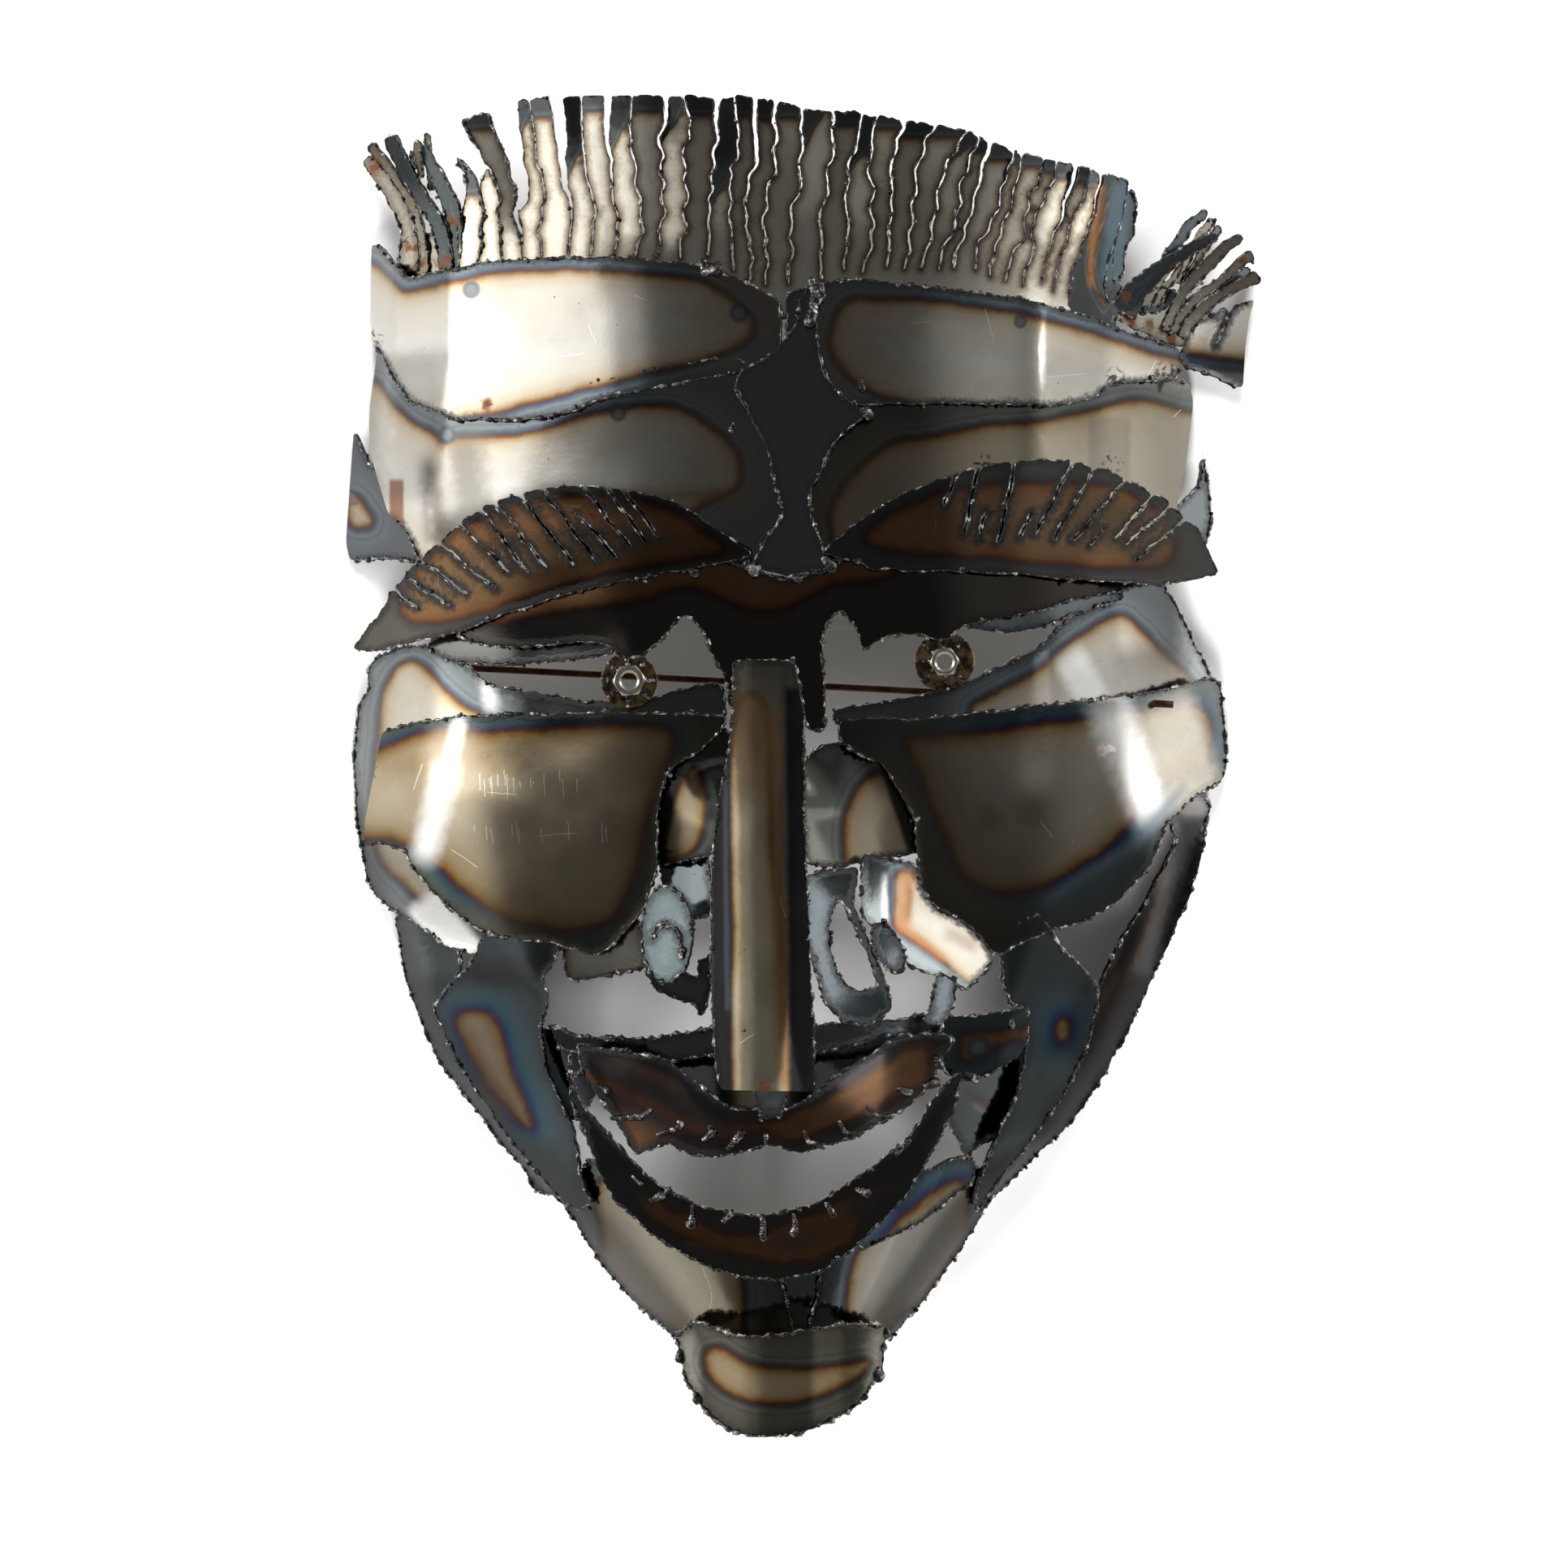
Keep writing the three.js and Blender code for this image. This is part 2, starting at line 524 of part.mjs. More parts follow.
addPlate('lip_lower', brownSteel, [
  [703, 1295], [707, 1337], [724, 1366], [758, 1404], [808, 1455], [838, 1472], [871, 1486],
  [939, 1497], [1006, 1480], [1073, 1438], [1120, 1400], [1145, 1358], [1162, 1337], [1181, 1318],
  [1183, 1328], [1175, 1362], [1137, 1438], [1116, 1472], [1048, 1539], [1010, 1564], [968, 1573],
  [918, 1572], [876, 1560], [842, 1543], [804, 1518], [770, 1488], [745, 1459], [707, 1358],
  [701, 1320],
], lowerLip, { step: [100, 150] });

// Chin
addPlate('chin_back', blackSteel, [
  [930, 1530], [1050, 1525], [1020, 1640], [955, 1645],
], onFace(rimLayer));
addPlate('chin_left', bareSteel, [
  [697, 1493], [700, 1470], [726, 1425], [754, 1440], [830, 1500], [960, 1540], [962, 1577],
  [972, 1610], [977, 1640], [960, 1660], [880, 1665], [846, 1650], [834, 1655], [766, 1598],
  [737, 1560],
], onFace(backLayer));
addPlate('chin_right', bareSteel, [
  [1225, 1472], [1187, 1547], [1153, 1594], [1124, 1627], [1097, 1653], [1060, 1662],
  [1000, 1656], [998, 1631], [1006, 1598], [1015, 1545], [1100, 1500], [1180, 1440], [1212, 1440],
], onFace(backLayer));
addPlate('chin_right_strip', blueSteel, [
  [1055, 1505], [1100, 1470], [1137, 1445], [1179, 1425], [1200, 1426], [1200, 1455], [1137, 1505],
  [1061, 1539],
], onFace(lowerLayer, 0.6));
const cupCreases = [
  [825, 62], [858, 88], [908, 106], [943, 114], [1002, 114], [1040, 104], [1069, 90], [1105, 66],
];
const cupHeight = (x, y) => slopingDown(1640, valueAt(cupCreases, x), -0.1)(x, y);
addPlate('chin_cup', bareSteel, [
  [831, 1648], [859, 1627], [893, 1640], [926, 1646], [965, 1642], [998, 1636], [1040, 1629],
  [1095, 1636], [1090, 1661], [1086, 1690], [1061, 1728], [1036, 1745], [989, 1763], [960, 1768],
  [930, 1770], [901, 1762], [876, 1745], [855, 1720], [842, 1695], [838, 1669],
], cupHeight, { step: [38, 200] });

// Hair over the forehead: a band cut into strips that are bent up and down by turns
const hairStiff = 322;
const hairRoot = 352;
const hairFoot = 394;
const hairLayer = 1.2;
const hairEdges = [
  // top x, top y, root x
  [628, 124, 624], [650, 120, 647], [674, 128, 668], [695, 117, 700], [722, 118, 730],
  [752, 117, 755], [784, 118, 783], [818, 121, 809], [848, 120, 838], [880, 125, 871],
  [907, 120, 904], [932, 123, 920], [957, 123, 943], [988, 134, 970], [1027, 137, 1010],
  [1056, 139, 1040], [1078, 141, 1065], [1113, 152, 1092], [1152, 155, 1116], [1186, 158, 1134],
  [1206, 168, 1157], [1228, 178, 1180], [1256, 189, 1206], [1288, 196, 1236], [1308, 200, 1262],
  [1330, 202, 1284], [1350, 210, 1304], [1366, 216, 1330],
];
const hairBends = [8, -10, 6, -18, 9, -16, 7, -6, 12, -14, 5, -10, 13, -5, 9, -16, 6, -8, 14, -12,
  5, -15, 10, -6, 12, -14, 8, -9];
const hairBand = [
  [600, hairRoot - 24], [1352, hairRoot - 4], [1380, hairRoot + 20], [1370, hairFoot + 30],
  [1250, hairFoot + 8], [960, hairFoot], [700, hairFoot - 4], [590, hairFoot - 20],
];
const hairBase = onFace(hairLayer);
const bentHair = (bend, reach) => (x, y) => hairBase(x, y) - tongueSink
  + bend * (Math.max(hairStiff - y, 0) / reach) ** 2;
addPlate('hair_top', bareSteel, hairBand, hairBase);
const hairLap = 8;
function addHairStrip([leftX, leftY, leftRootX], [rightX, rightY, rightRootX], bend) {
  const half = slitWidth / traceUnit / 2;
  const outline = [
    [leftX + half, leftY], [leftRootX + half, hairRoot + hairLap],
    [rightRootX - half, hairRoot + hairLap], [rightX - half, rightY],
  ];
  addTongue('hair_top', outline, bentHair(bend, hairStiff - (leftY + rightY) / 2), [120, 140]);
}
hairEdges.slice(1).forEach((edge, index) => addHairStrip(hairEdges[index], edge, hairBends[index]));

addTongue('hair_top', [
  [570, 150], [601, 140], [618, 180], [628, 215], [634, 262], [640, 345], [606, 352], [612, 260],
  [612, 235],
], bentHair(14, 180), [120, 70]);
addTongue('hair_top', [
  [1366, 216], [1393, 225], [1402, 240], [1400, 285], [1372, 380], [1340, 366],
], bentHair(6, 110), [60, 60]);

// Side tufts: fanned strips welded to the corners of the forehead, bent beyond a stiff root
const fanned = (base, [rootX, rootY], stiff, reach) => (bend) => (x, y) => {
  const share = Math.max(Math.hypot(x - rootX, y - rootY) - stiff, 0) / reach;
  return base(x) + bend * share ** 2;
};
const leftTuftHeight = slopingAcross(500, 37, 0.4);
const leftTuft = fanned(leftTuftHeight, [530, 340], 70, 150);
addPlate('hair_left_tuft', bareSteel, [
  [490, 322], [494, 285], [510, 270], [560, 262], [574, 300], [568, 352], [500, 352],
], leftTuftHeight, { step: [100, 100] });
const leftStrips = [
  [[[438, 188], [468, 178], [497, 225], [516, 262], [520, 300], [497, 300], [478, 245], [450, 205]],
    -10],
  [[[470, 160], [487, 165], [500, 190], [527, 235], [545, 262], [540, 300], [519, 300], [503, 235],
    [480, 185]], 12],
  [[[508, 163], [518, 160], [530, 195], [545, 215], [560, 240], [570, 262], [566, 300], [550, 300],
    [530, 240], [515, 205]], -4],
];
leftStrips.forEach(([outline, bend]) => {
  addTongue('hair_left_tuft', outline, leftTuft(bend), [200, 110]);
});
const rightTuftHeight = (x) => valueAt([[1372, 50], [1440, 24], [1560, 20]], x);
const rightTuft = fanned(rightTuftHeight, [1430, 400], 90, 70);
addPlate('hair_right_tuft', bareSteel, [
  [1372, 385], [1385, 352], [1420, 340], [1470, 330], [1484, 350], [1478, 372], [1466, 402],
  [1440, 436], [1415, 430],
], rightTuftHeight, { step: [68, 120] });
const rightStrips = [
  [[[1400, 360], [1405, 342], [1430, 320], [1495, 286], [1490, 299], [1455, 326], [1440, 350]],
    10],
  [[[1437, 340], [1440, 312], [1475, 257], [1493, 256], [1468, 310], [1462, 345]], -6],
  [[[1468, 345], [1476, 305], [1497, 262], [1510, 270], [1500, 300], [1484, 350]], 4],
  [[[1455, 368], [1480, 330], [1510, 305], [1530, 283], [1537, 292], [1515, 315], [1482, 350],
    [1474, 375]], 14],
  [[[1460, 392], [1478, 372], [1530, 312], [1547, 303], [1552, 315], [1515, 345], [1480, 395]],
    -8],
  [[[1452, 415], [1466, 392], [1500, 360], [1527, 335], [1555, 328], [1559, 340], [1530, 355],
    [1490, 385], [1466, 412]], 6],
];
rightStrips.forEach(([outline, bend]) => {
  addTongue('hair_right_tuft', outline, rightTuft(bend), [75, 200]);
});
addPlate('corner_plate', bareSteel, [
  [1460, 425], [1472, 392], [1552, 362], [1545, 385], [1540, 420], [1537, 474], [1520, 470],
  [1500, 458], [1475, 452], [1460, 446],
], slopingAcross(1445, 20, -0.05), {
  step: [150, 150],
  slits: [[[1526, 366], [1512, 400], [1500, 425]]],
});

// Welds that hold the plates together
const tacks = [
  ['forehead_upper_left', 'forehead_lower_left', [560, 498]],
  ['forehead_upper_left', 'forehead_lower_left', [800, 470]],
  ['forehead_upper_left', 'hair_top', [700, 377]],
  ['forehead_upper_left', 'hair_top', [900, 379]],
  ['forehead_upper_right', 'hair_top', [1100, 382]],
  ['forehead_upper_right', 'hair_top', [1300, 402]],
  ['forehead_upper_right', 'forehead_lower_right', [1120, 484]],
  ['forehead_upper_right', 'forehead_lower_right', [1300, 486]],
  ['forehead_centre', 'forehead_upper_left', [935, 458]],
  ['forehead_centre', 'forehead_lower_left', [963, 580], 1.6],
  ['forehead_centre', 'forehead_upper_right', [1002, 430]],
  ['forehead_centre', 'forehead_lower_right', [1010, 530]],
  ['forehead_lower_left', 'temple_left', [484, 600]],
  ['forehead_lower_right', 'temple_right', [1446, 634], 1.6],
  ['forehead_upper_left', 'hair_left_tuft', [530, 342], 2],
  ['forehead_upper_right', 'hair_right_tuft', [1410, 420]],
  ['hair_right_tuft', 'corner_plate', [1474, 399], 1.6],
  ['brow_ridge', 'eye_washer_left', [776, 808], 1.2],
  ['brow_ridge', 'eye_washer_right', [1161, 784], 1.2],
  ['eye_washer_left', 'cheek_back_left', [768, 870], 1],
  ['eye_washer_right', 'cheek_back_right', [1180, 848], 1],
  ['cheek_back_left', 'jaw_left', [520, 1136]],
  ['cheek_lower_left', 'jaw_left', [580, 1300]],
  ['cheek_lower_left', 'jaw_left', [690, 1450]],
  ['cheek_left', 'cheek_back_left', [500, 910]],
  ['cheek_left', 'cheek_back_left', [760, 900]],
  ['cheek_left', 'cheek_back_left', [590, 1100]],
  ['cheek_left', 'cheek_lower_left', [650, 1149]],
  ['cheek_left', 'flange_left', [738, 1160]],
  ['cheek_right', 'cheek_back_right', [1100, 900]],
  ['cheek_right', 'cheek_back_right', [1450, 870]],
  ['cheek_right', 'cheek_lower_right', [1262, 1150]],
  ['cheek_right', 'jaw_right', [1470, 982]],
  ['cheek_lower_right', 'jaw_right', [1342, 1235]],
  ['cheek_lower_right', 'jaw_right', [1255, 1420]],
  ['brow_ridge', 'lid_left', [640, 790]],
  ['brow_ridge', 'lid_right', [1290, 740]],
  ['brow_left', 'brow_ridge', [700, 725]],
  ['brow_left', 'brow_ridge', [840, 698]],
  ['brow_right', 'brow_ridge', [1080, 696]],
  ['brow_right', 'brow_ridge', [1300, 704]],
  ['forehead_centre', 'brow_ridge', [975, 706]],
  ['nose_bar', 'brow_ridge', [950, 826]],
  ['nose_bar', 'nose_side_left', [894, 980]],
  ['nose_bar', 'nose_side_right', [988, 1020]],
  ['nose_bar', 'nostril_right', [994, 1110]],
  ['nose_bar', 'nose_brace', [950, 1332]],
  ['nose_brace', 'lip_upper', [950, 1369], 1.6],
  ['nose_side_left', 'nostril_left_upper', [850, 1055]],
  ['cheek_left', 'nose_side_left', [806, 1010], 1.6],
  ['cheek_right', 'nose_side_right', [1132, 1030], 1.6],
  ['nostril_left', 'nostril_left_upper', [835, 1105]],
  ['nostril_left', 'flange_left', [795, 1150], 1],
  ['nostril_left', 'nostril_left_lobe', [830, 1195]],
  ['nostril_right_wing', 'nose_side_right', [1095, 1060], 1.6],
  ['nostril_right_wing', 'cheek_right', [1180, 1144]],
  ['nostril_right_oval', 'nostril_right_wing', [1092, 1150]],
  ['nostril_right_wing', 'nostril_right_tab', [1166, 1196]],
  ['nostril_right_tab', 'upper_lip_back', [1144, 1257], 1.6],
  ['upper_lip_back', 'mouth_back', [820, 1290]],
  ['upper_lip_back', 'mouth_back', [1050, 1278]],
  ['upper_lip_back', 'mouth_corner_left', [695, 1278]],
  ['lip_upper', 'upper_lip_back', [760, 1296]],
  ['lip_upper', 'mouth_back', [1040, 1325]],
  ['lip_upper', 'mouth_corner_left', [724, 1310]],
  ['lip_upper', 'mouth_corner_right_upper', [1167, 1288]],
  ['lip_lower', 'mouth_corner_left', [714, 1360]],
  ['lip_lower', 'mouth_corner_right_lower', [1173, 1350], 1.6],
  ['mouth_corner_right_upper', 'mouth_corner_right_lower', [1215, 1314]],
  ['mouth_corner_right_upper', 'cheek_lower_right', [1264, 1262], 1],
  ['cheek_lower_right', 'mouth_corner_right_lower', [1261, 1330], 1.6],
  ['cheek_lower_left', 'mouth_corner_left', [668, 1290], 1.6],
  ['lip_lower', 'chin_left', [760, 1462]],
  ['lip_lower', 'chin_right_strip', [1080, 1500]],
  ['chin_right_strip', 'chin_right', [1150, 1480]],
  ['cheek_lower_left', 'chin_left', [712, 1476]],
  ['chin_left', 'chin_back', [955, 1600]],
  ['chin_right', 'chin_back', [1020, 1580]],
  ['chin_cup', 'chin_left', [900, 1650]],
  ['chin_cup', 'chin_right', [1060, 1648]],
];

// Eyes: a washer with a hexagonal nut on each
const nutTurn = 0.1;
function hexagonNut(cornerRadius, boreRadius, thickness) {
  const corners = Array.from({ length: 6 }, (_, index) => {
    const angle = nutTurn + (Math.PI * index) / 3;
    return new THREE.Vector2(cornerRadius * Math.cos(angle), cornerRadius * Math.sin(angle));
  });
  const shape = new THREE.Shape(corners);
  shape.holes.push(new THREE.Path().absarc(0, 0, boreRadius, 0, 2 * Math.PI, true));
  return new THREE.ExtrudeGeometry(shape, { depth: thickness, bevelEnabled: false, curveSegments: 6 });
}
const eyes = [
  { side: 'left', place: [776, 839], washerRadius: 12.4, nutAcross: 12.7, height: 116 },
  { side: 'right', place: [1163, 816], washerRadius: 13.2, nutAcross: 11.4, height: 116 },
];
const nutMeshes = eyes.map(({ side, place, washerRadius, nutAcross, height }) => {
  const washerOutline = discOutline(place, washerRadius / traceUnit, 16);
  addPlate(`eye_washer_${side}`, zincSteel, washerOutline, () => height, {
    step: [200, 200],
    holes: [discOutline(place, nutBore / 2 / traceUnit, 10)],
  });
  const nut = hexagonNut(nutAcross / Math.sqrt(3), nutBore / 2, nutThickness);
  const mesh = new THREE.Mesh(nut, new THREE.MeshStandardMaterial(zincSteel));
  const { x, y } = toMillimetres(place);
  mesh.name = `eye_nut_${side}`;
  mesh.position.set(x, y, height + weldGap);
  return mesh;
});

tacks.forEach((tack) => addTack(...tack));

// The rod across the inside of the cheeks, which the mask can hang from, with a facet for a hook
const rodEnds = [[470, 817], [1490, 870]];
const [rodStart, rodEnd] = rodEnds.map((end) => {
  const { x, y } = toMillimetres(end);
  return new THREE.Vector3(x, y, rodHeight);
});
const rodTurn = Math.PI / 12;
const rodShape = new THREE.Shape();
rodShape.absarc(0, 0, rodDiameter / 2, rodTurn, rodTurn + 2 * Math.PI, false);
const rodGeometry = new THREE.ExtrudeGeometry(rodShape, {
  extrudePath: new THREE.LineCurve3(rodStart, rodEnd),
  steps: 1,
  curveSegments: 6,
  bevelEnabled: false,
});
const behindSheet = -(sheetThickness + weldGap);
plates.hanging_rod = {
  finish: brownSteel,
  solid: toSolid(rodGeometry)
    .subtract(over(plates.cheek_back_left, behindSheet))
    .subtract(over(plates.cheek_back_right, behindSheet)),
};

const group = new THREE.Group();
Object.entries(plates).forEach(([name, { solid, finish }]) => {
  const { vertProperties, triVerts } = solid.getMesh();
  const geometry = new THREE.BufferGeometry();
  geometry.setAttribute('position', new THREE.BufferAttribute(vertProperties, 3));
  geometry.setIndex(new THREE.BufferAttribute(triVerts, 1));
  const mesh = new THREE.Mesh(geometry, new THREE.MeshStandardMaterial(finish));
  mesh.name = name;
  group.add(mesh);
});
nutMeshes.forEach((mesh) => group.add(mesh));

// The origin is under the middle of the mask, on the floor
const box = new THREE.Box3().setFromObject(group);
const middle = box.getCenter(new THREE.Vector3());
group.position.set(-middle.x, -middle.y, -box.min.z);

export default group;
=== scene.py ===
import itertools
import math
import random

import bpy
import numpy as np
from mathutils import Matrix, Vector, noise
from mathutils.bvhtree import BVHTree
from mathutils.geometry import delaunay_2d_cdt


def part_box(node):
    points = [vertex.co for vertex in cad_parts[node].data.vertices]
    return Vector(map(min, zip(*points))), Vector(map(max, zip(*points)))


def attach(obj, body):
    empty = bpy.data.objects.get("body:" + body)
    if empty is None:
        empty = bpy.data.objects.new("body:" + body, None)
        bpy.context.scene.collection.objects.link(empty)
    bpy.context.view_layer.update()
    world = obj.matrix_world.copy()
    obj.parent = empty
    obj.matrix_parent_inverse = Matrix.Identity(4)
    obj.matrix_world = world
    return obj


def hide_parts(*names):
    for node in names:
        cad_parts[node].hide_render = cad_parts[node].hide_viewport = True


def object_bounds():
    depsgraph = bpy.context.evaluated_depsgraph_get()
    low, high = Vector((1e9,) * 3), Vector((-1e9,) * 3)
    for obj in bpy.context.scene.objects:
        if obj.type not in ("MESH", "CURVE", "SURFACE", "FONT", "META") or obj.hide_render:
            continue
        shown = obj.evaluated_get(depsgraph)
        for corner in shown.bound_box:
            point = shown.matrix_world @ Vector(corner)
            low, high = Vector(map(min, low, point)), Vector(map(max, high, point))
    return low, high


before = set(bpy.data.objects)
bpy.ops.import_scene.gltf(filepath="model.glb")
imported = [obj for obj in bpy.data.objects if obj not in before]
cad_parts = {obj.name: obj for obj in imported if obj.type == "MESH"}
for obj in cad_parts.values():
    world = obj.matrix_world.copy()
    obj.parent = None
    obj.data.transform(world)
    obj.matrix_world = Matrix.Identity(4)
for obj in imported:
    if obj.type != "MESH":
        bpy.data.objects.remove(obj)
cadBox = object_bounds()
print("frame loaded with", len(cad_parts), "nodes")

# Everything is worked out in millimetres and written to the meshes in metres.
# Places are given in pixels of the photograph, as in the part's own outlines.
mm = 0.001
traceUnit = 0.353  # millimetres for one pixel
tracedNut = (776, 839)  # the middle of the nut in the left eye
nutLow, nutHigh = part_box("eye_nut_left")
nutMiddle = (nutLow + nutHigh) / 2 / mm
lowEnd, highEnd = (np.array([list(corner) for corner in cadBox]) / mm).tolist()
sheetThickness = 1.5
down = Vector((0, 0, -1))
skyHeight = 400  # higher than any plate


def toMillimetres(points):
    traced = np.asarray(points, float).reshape(-1, 2)
    return np.column_stack([
        nutMiddle.x + (traced[:, 0] - tracedNut[0]) * traceUnit,
        nutMiddle.y + (tracedNut[1] - traced[:, 1]) * traceUnit,
    ])


# Materials
class Wire:
    # A socket of a node tree, with sums written as in Python
    def __init__(self, tree, socket=None):
        self.tree = tree
        self.socket = socket

    def node(self, kind, settings=None, sockets=None, out=0):
        made = self.tree.nodes.new(kind)
        for key, value in (settings or {}).items():
            if key == "stops":
                ramp = made.color_ramp
                while len(ramp.elements) > 1:
                    ramp.elements.remove(ramp.elements[-1])
                ramp.elements[0].position = value[0][0]
                ramp.elements[0].color = (*value[0][1], 1)
                for position, colour in value[1:]:
                    ramp.elements.new(position).color = (*colour, 1)
            else:
                setattr(made, key, value)
        for key, value in (sockets or {}).items():
            if isinstance(value, Wire):
                self.tree.links.new(value.socket, made.inputs[key])
            else:
                made.inputs[key].default_value = value
        return Wire(self.tree, made.outputs[out])

    def maths(self, operation, *values, clamp=False):
        settings = {"operation": operation, "use_clamp": clamp}
        return self.node("ShaderNodeMath", settings, dict(enumerate(values)))

    def __add__(self, other):
        return self.maths("ADD", self, other)

    __radd__ = __add__

    def __sub__(self, other):
        return self.maths("SUBTRACT", self, other)

    def __rsub__(self, other):
        return self.maths("SUBTRACT", other, self)

    def __mul__(self, other):
        return self.maths("MULTIPLY", self, other)

    __rmul__ = __mul__

    def __truediv__(self, other):
        return self.maths("DIVIDE", self, other)

    def __rtruediv__(self, other):
        return self.maths("DIVIDE", other, self)

    def larger(self, other):
        return self.maths("MAXIMUM", self, other)

    def between(self, low, high, first=0.0, last=1.0):
        settings = {"interpolation_type": "SMOOTHSTEP"}
        sockets = {0: self, 1: low, 2: high, 3: first, 4: last}
        return self.node("ShaderNodeMapRange", settings, sockets)

    def blend(self, first, second):
        # Colours mixed by this wire
        colours = {6: first, 7: second}
        for key, value in colours.items():
            if not isinstance(value, Wire):
                colours[key] = (*value, 1)
        settings = {"data_type": "RGBA"}
        return self.node("ShaderNodeMix", settings, {0: self, **colours}, out=2)


def newMaterial(name):
    material = bpy.data.materials.new(name)
    material.use_nodes = True
    tree = material.node_tree
    shader = tree.nodes["Principled BSDF"]
    return material, Wire(tree), shader


def connect(shader, **sockets):
    names = {"colour": "Base Color", "rough": "Roughness", "metal": "Metallic", "normal": "Normal"}
    for key, value in sockets.items():
        target = shader.inputs[names[key]]
        if isinstance(value, Wire):
            value.tree.links.new(value.socket, target)
        else:
            target.default_value = value


# Heat colours of steel by the distance in millimetres from the line where the blue ends
heatColours = {
    "bare": [
        (-16, (0.125, 0.138, 0.145)), (-10, (0.135, 0.152, 0.160)), (-7, (0.155, 0.178, 0.190)),
        (-5.4, (0.125, 0.145, 0.158)), (-4.4, (0.175, 0.198, 0.210)), (-3.4, (0.125, 0.148, 0.168)),
        (-2.4, (0.085, 0.098, 0.125)), (-1.6, (0.082, 0.070, 0.085)), (-0.8, (0.115, 0.064, 0.042)),
        (0.1, (0.225, 0.135, 0.070)), (1.3, (0.365, 0.275, 0.170)), (3.2, (0.465, 0.405, 0.310)),
        (8, (0.530, 0.495, 0.430)), (22, (0.575, 0.565, 0.525)),
    ],
    "deep": [
        (-16, (0.090, 0.105, 0.112)), (-11, (0.095, 0.125, 0.138)), (-8, (0.085, 0.135, 0.158)),
        (-5.5, (0.070, 0.125, 0.165)), (-3.6, (0.050, 0.090, 0.160)), (-2.2, (0.050, 0.056, 0.125)),
        (-1.1, (0.080, 0.045, 0.075)), (-0.2, (0.140, 0.066, 0.036)), (1.2, (0.270, 0.165, 0.080)),
        (3.2, (0.360, 0.280, 0.175)), (6, (0.440, 0.385, 0.300)), (12, (0.500, 0.470, 0.410)),
        (22, (0.560, 0.545, 0.505)),
    ],
    "brown": [
        (-12, (0.100, 0.104, 0.106)), (-6, (0.105, 0.112, 0.116)), (-3.0, (0.080, 0.088, 0.102)),
        (-1.4, (0.085, 0.060, 0.070)), (-0.2, (0.150, 0.075, 0.048)), (1.4, (0.240, 0.130, 0.072)),
        (4, (0.270, 0.165, 0.095)), (9, (0.255, 0.170, 0.105)), (22, (0.240, 0.165, 0.110)),
    ],
    "smoky": [
        (-16, (0.100, 0.105, 0.110)), (-5, (0.100, 0.103, 0.108)), (-2.5, (0.105, 0.088, 0.090)),
        (-0.5, (0.130, 0.080, 0.062)), (2, (0.270, 0.150, 0.085)), (6, (0.220, 0.140, 0.088)),
        (10, (0.140, 0.105, 0.085)), (13, (0.200, 0.120, 0.075)), (22, (0.120, 0.108, 0.095)),
    ],
    "char": [
        (-16, (0.052, 0.055, 0.058)), (-4, (0.058, 0.061, 0.064)), (-2.4, (0.090, 0.098, 0.105)),
        (-1.5, (0.058, 0.054, 0.058)), (-0.6, (0.110, 0.070, 0.048)), (0.5, (0.240, 0.175, 0.115)),
        (1.8, (0.380, 0.330, 0.260)), (4, (0.480, 0.450, 0.395)), (10, (0.540, 0.525, 0.485)),
        (22, (0.570, 0.560, 0.525)),
    ],
}
rampLow, rampHigh = -16, 22


def heatRamp(look):
    reach = rampHigh - rampLow
    return [((place - rampLow) / reach, colour) for place, colour in heatColours[look]]


def cloud(wire, place, size, detail=3.0, stretch=None):
    # Noise of a given size in millimetres over the piece
    if stretch:
        place = wire.node("ShaderNodeMapping", {}, {0: place, 3: stretch})
    sockets = {"Vector": place, "Scale": 1 / (size * mm), "Detail": detail}
    return wire.node("ShaderNodeTexNoise", {"noise_dimensions": "3D"}, sockets)


# Band colours. The near-white one is a painted highlight. The dark brown, black and smoke ones are painted
# shade and painted shadow. Cream also serves as a painted highlight on the cheeks. The others are colours
# of the steel itself: heat tints, rust, scale and bare metal.
bandColours = {
    "paintedHighlight": (0.930, 0.930, 0.910), "silver": (0.600, 0.610, 0.610), "paintedShade": (0.055, 0.042, 0.030),
    "smoke": (0.120, 0.110, 0.095), "brown": (0.190, 0.110, 0.055), "red": (0.210, 0.090, 0.045),
    "blue": (0.120, 0.150, 0.190), "cream": (0.560, 0.520, 0.440), "black": (0.012, 0.012, 0.013),
    "teal": (0.100, 0.140, 0.165), "orange": (0.430, 0.190, 0.075), "charcoal": (0.062, 0.063, 0.066),
    "frost": (0.330, 0.370, 0.365),
}


def lineOver(wire, flat, x, y, endX, endY):
    # How far a place lies beside a line and from its middle, and how long the line is
    first, last = toMillimetres([(x, y), (endX, endY)]) * mm
    reach = float(np.linalg.norm(last - first))
    ahead = (last - first) / reach
    gone = wire.node("ShaderNodeVectorMath", {"operation": "SUBTRACT"},
                     {0: flat, 1: (first[0], first[1], 0)})
    along = wire.node("ShaderNodeVectorMath", {"operation": "DOT_PRODUCT"},
                      {0: gone, 1: (ahead[0], ahead[1], 0)}, out=1)
    across = wire.node("ShaderNodeVectorMath", {"operation": "DOT_PRODUCT"},
                       {0: gone, 1: (-ahead[1], ahead[0], 0)}, out=1)
    return across, wire.maths("ABSOLUTE", along - reach / 2), reach


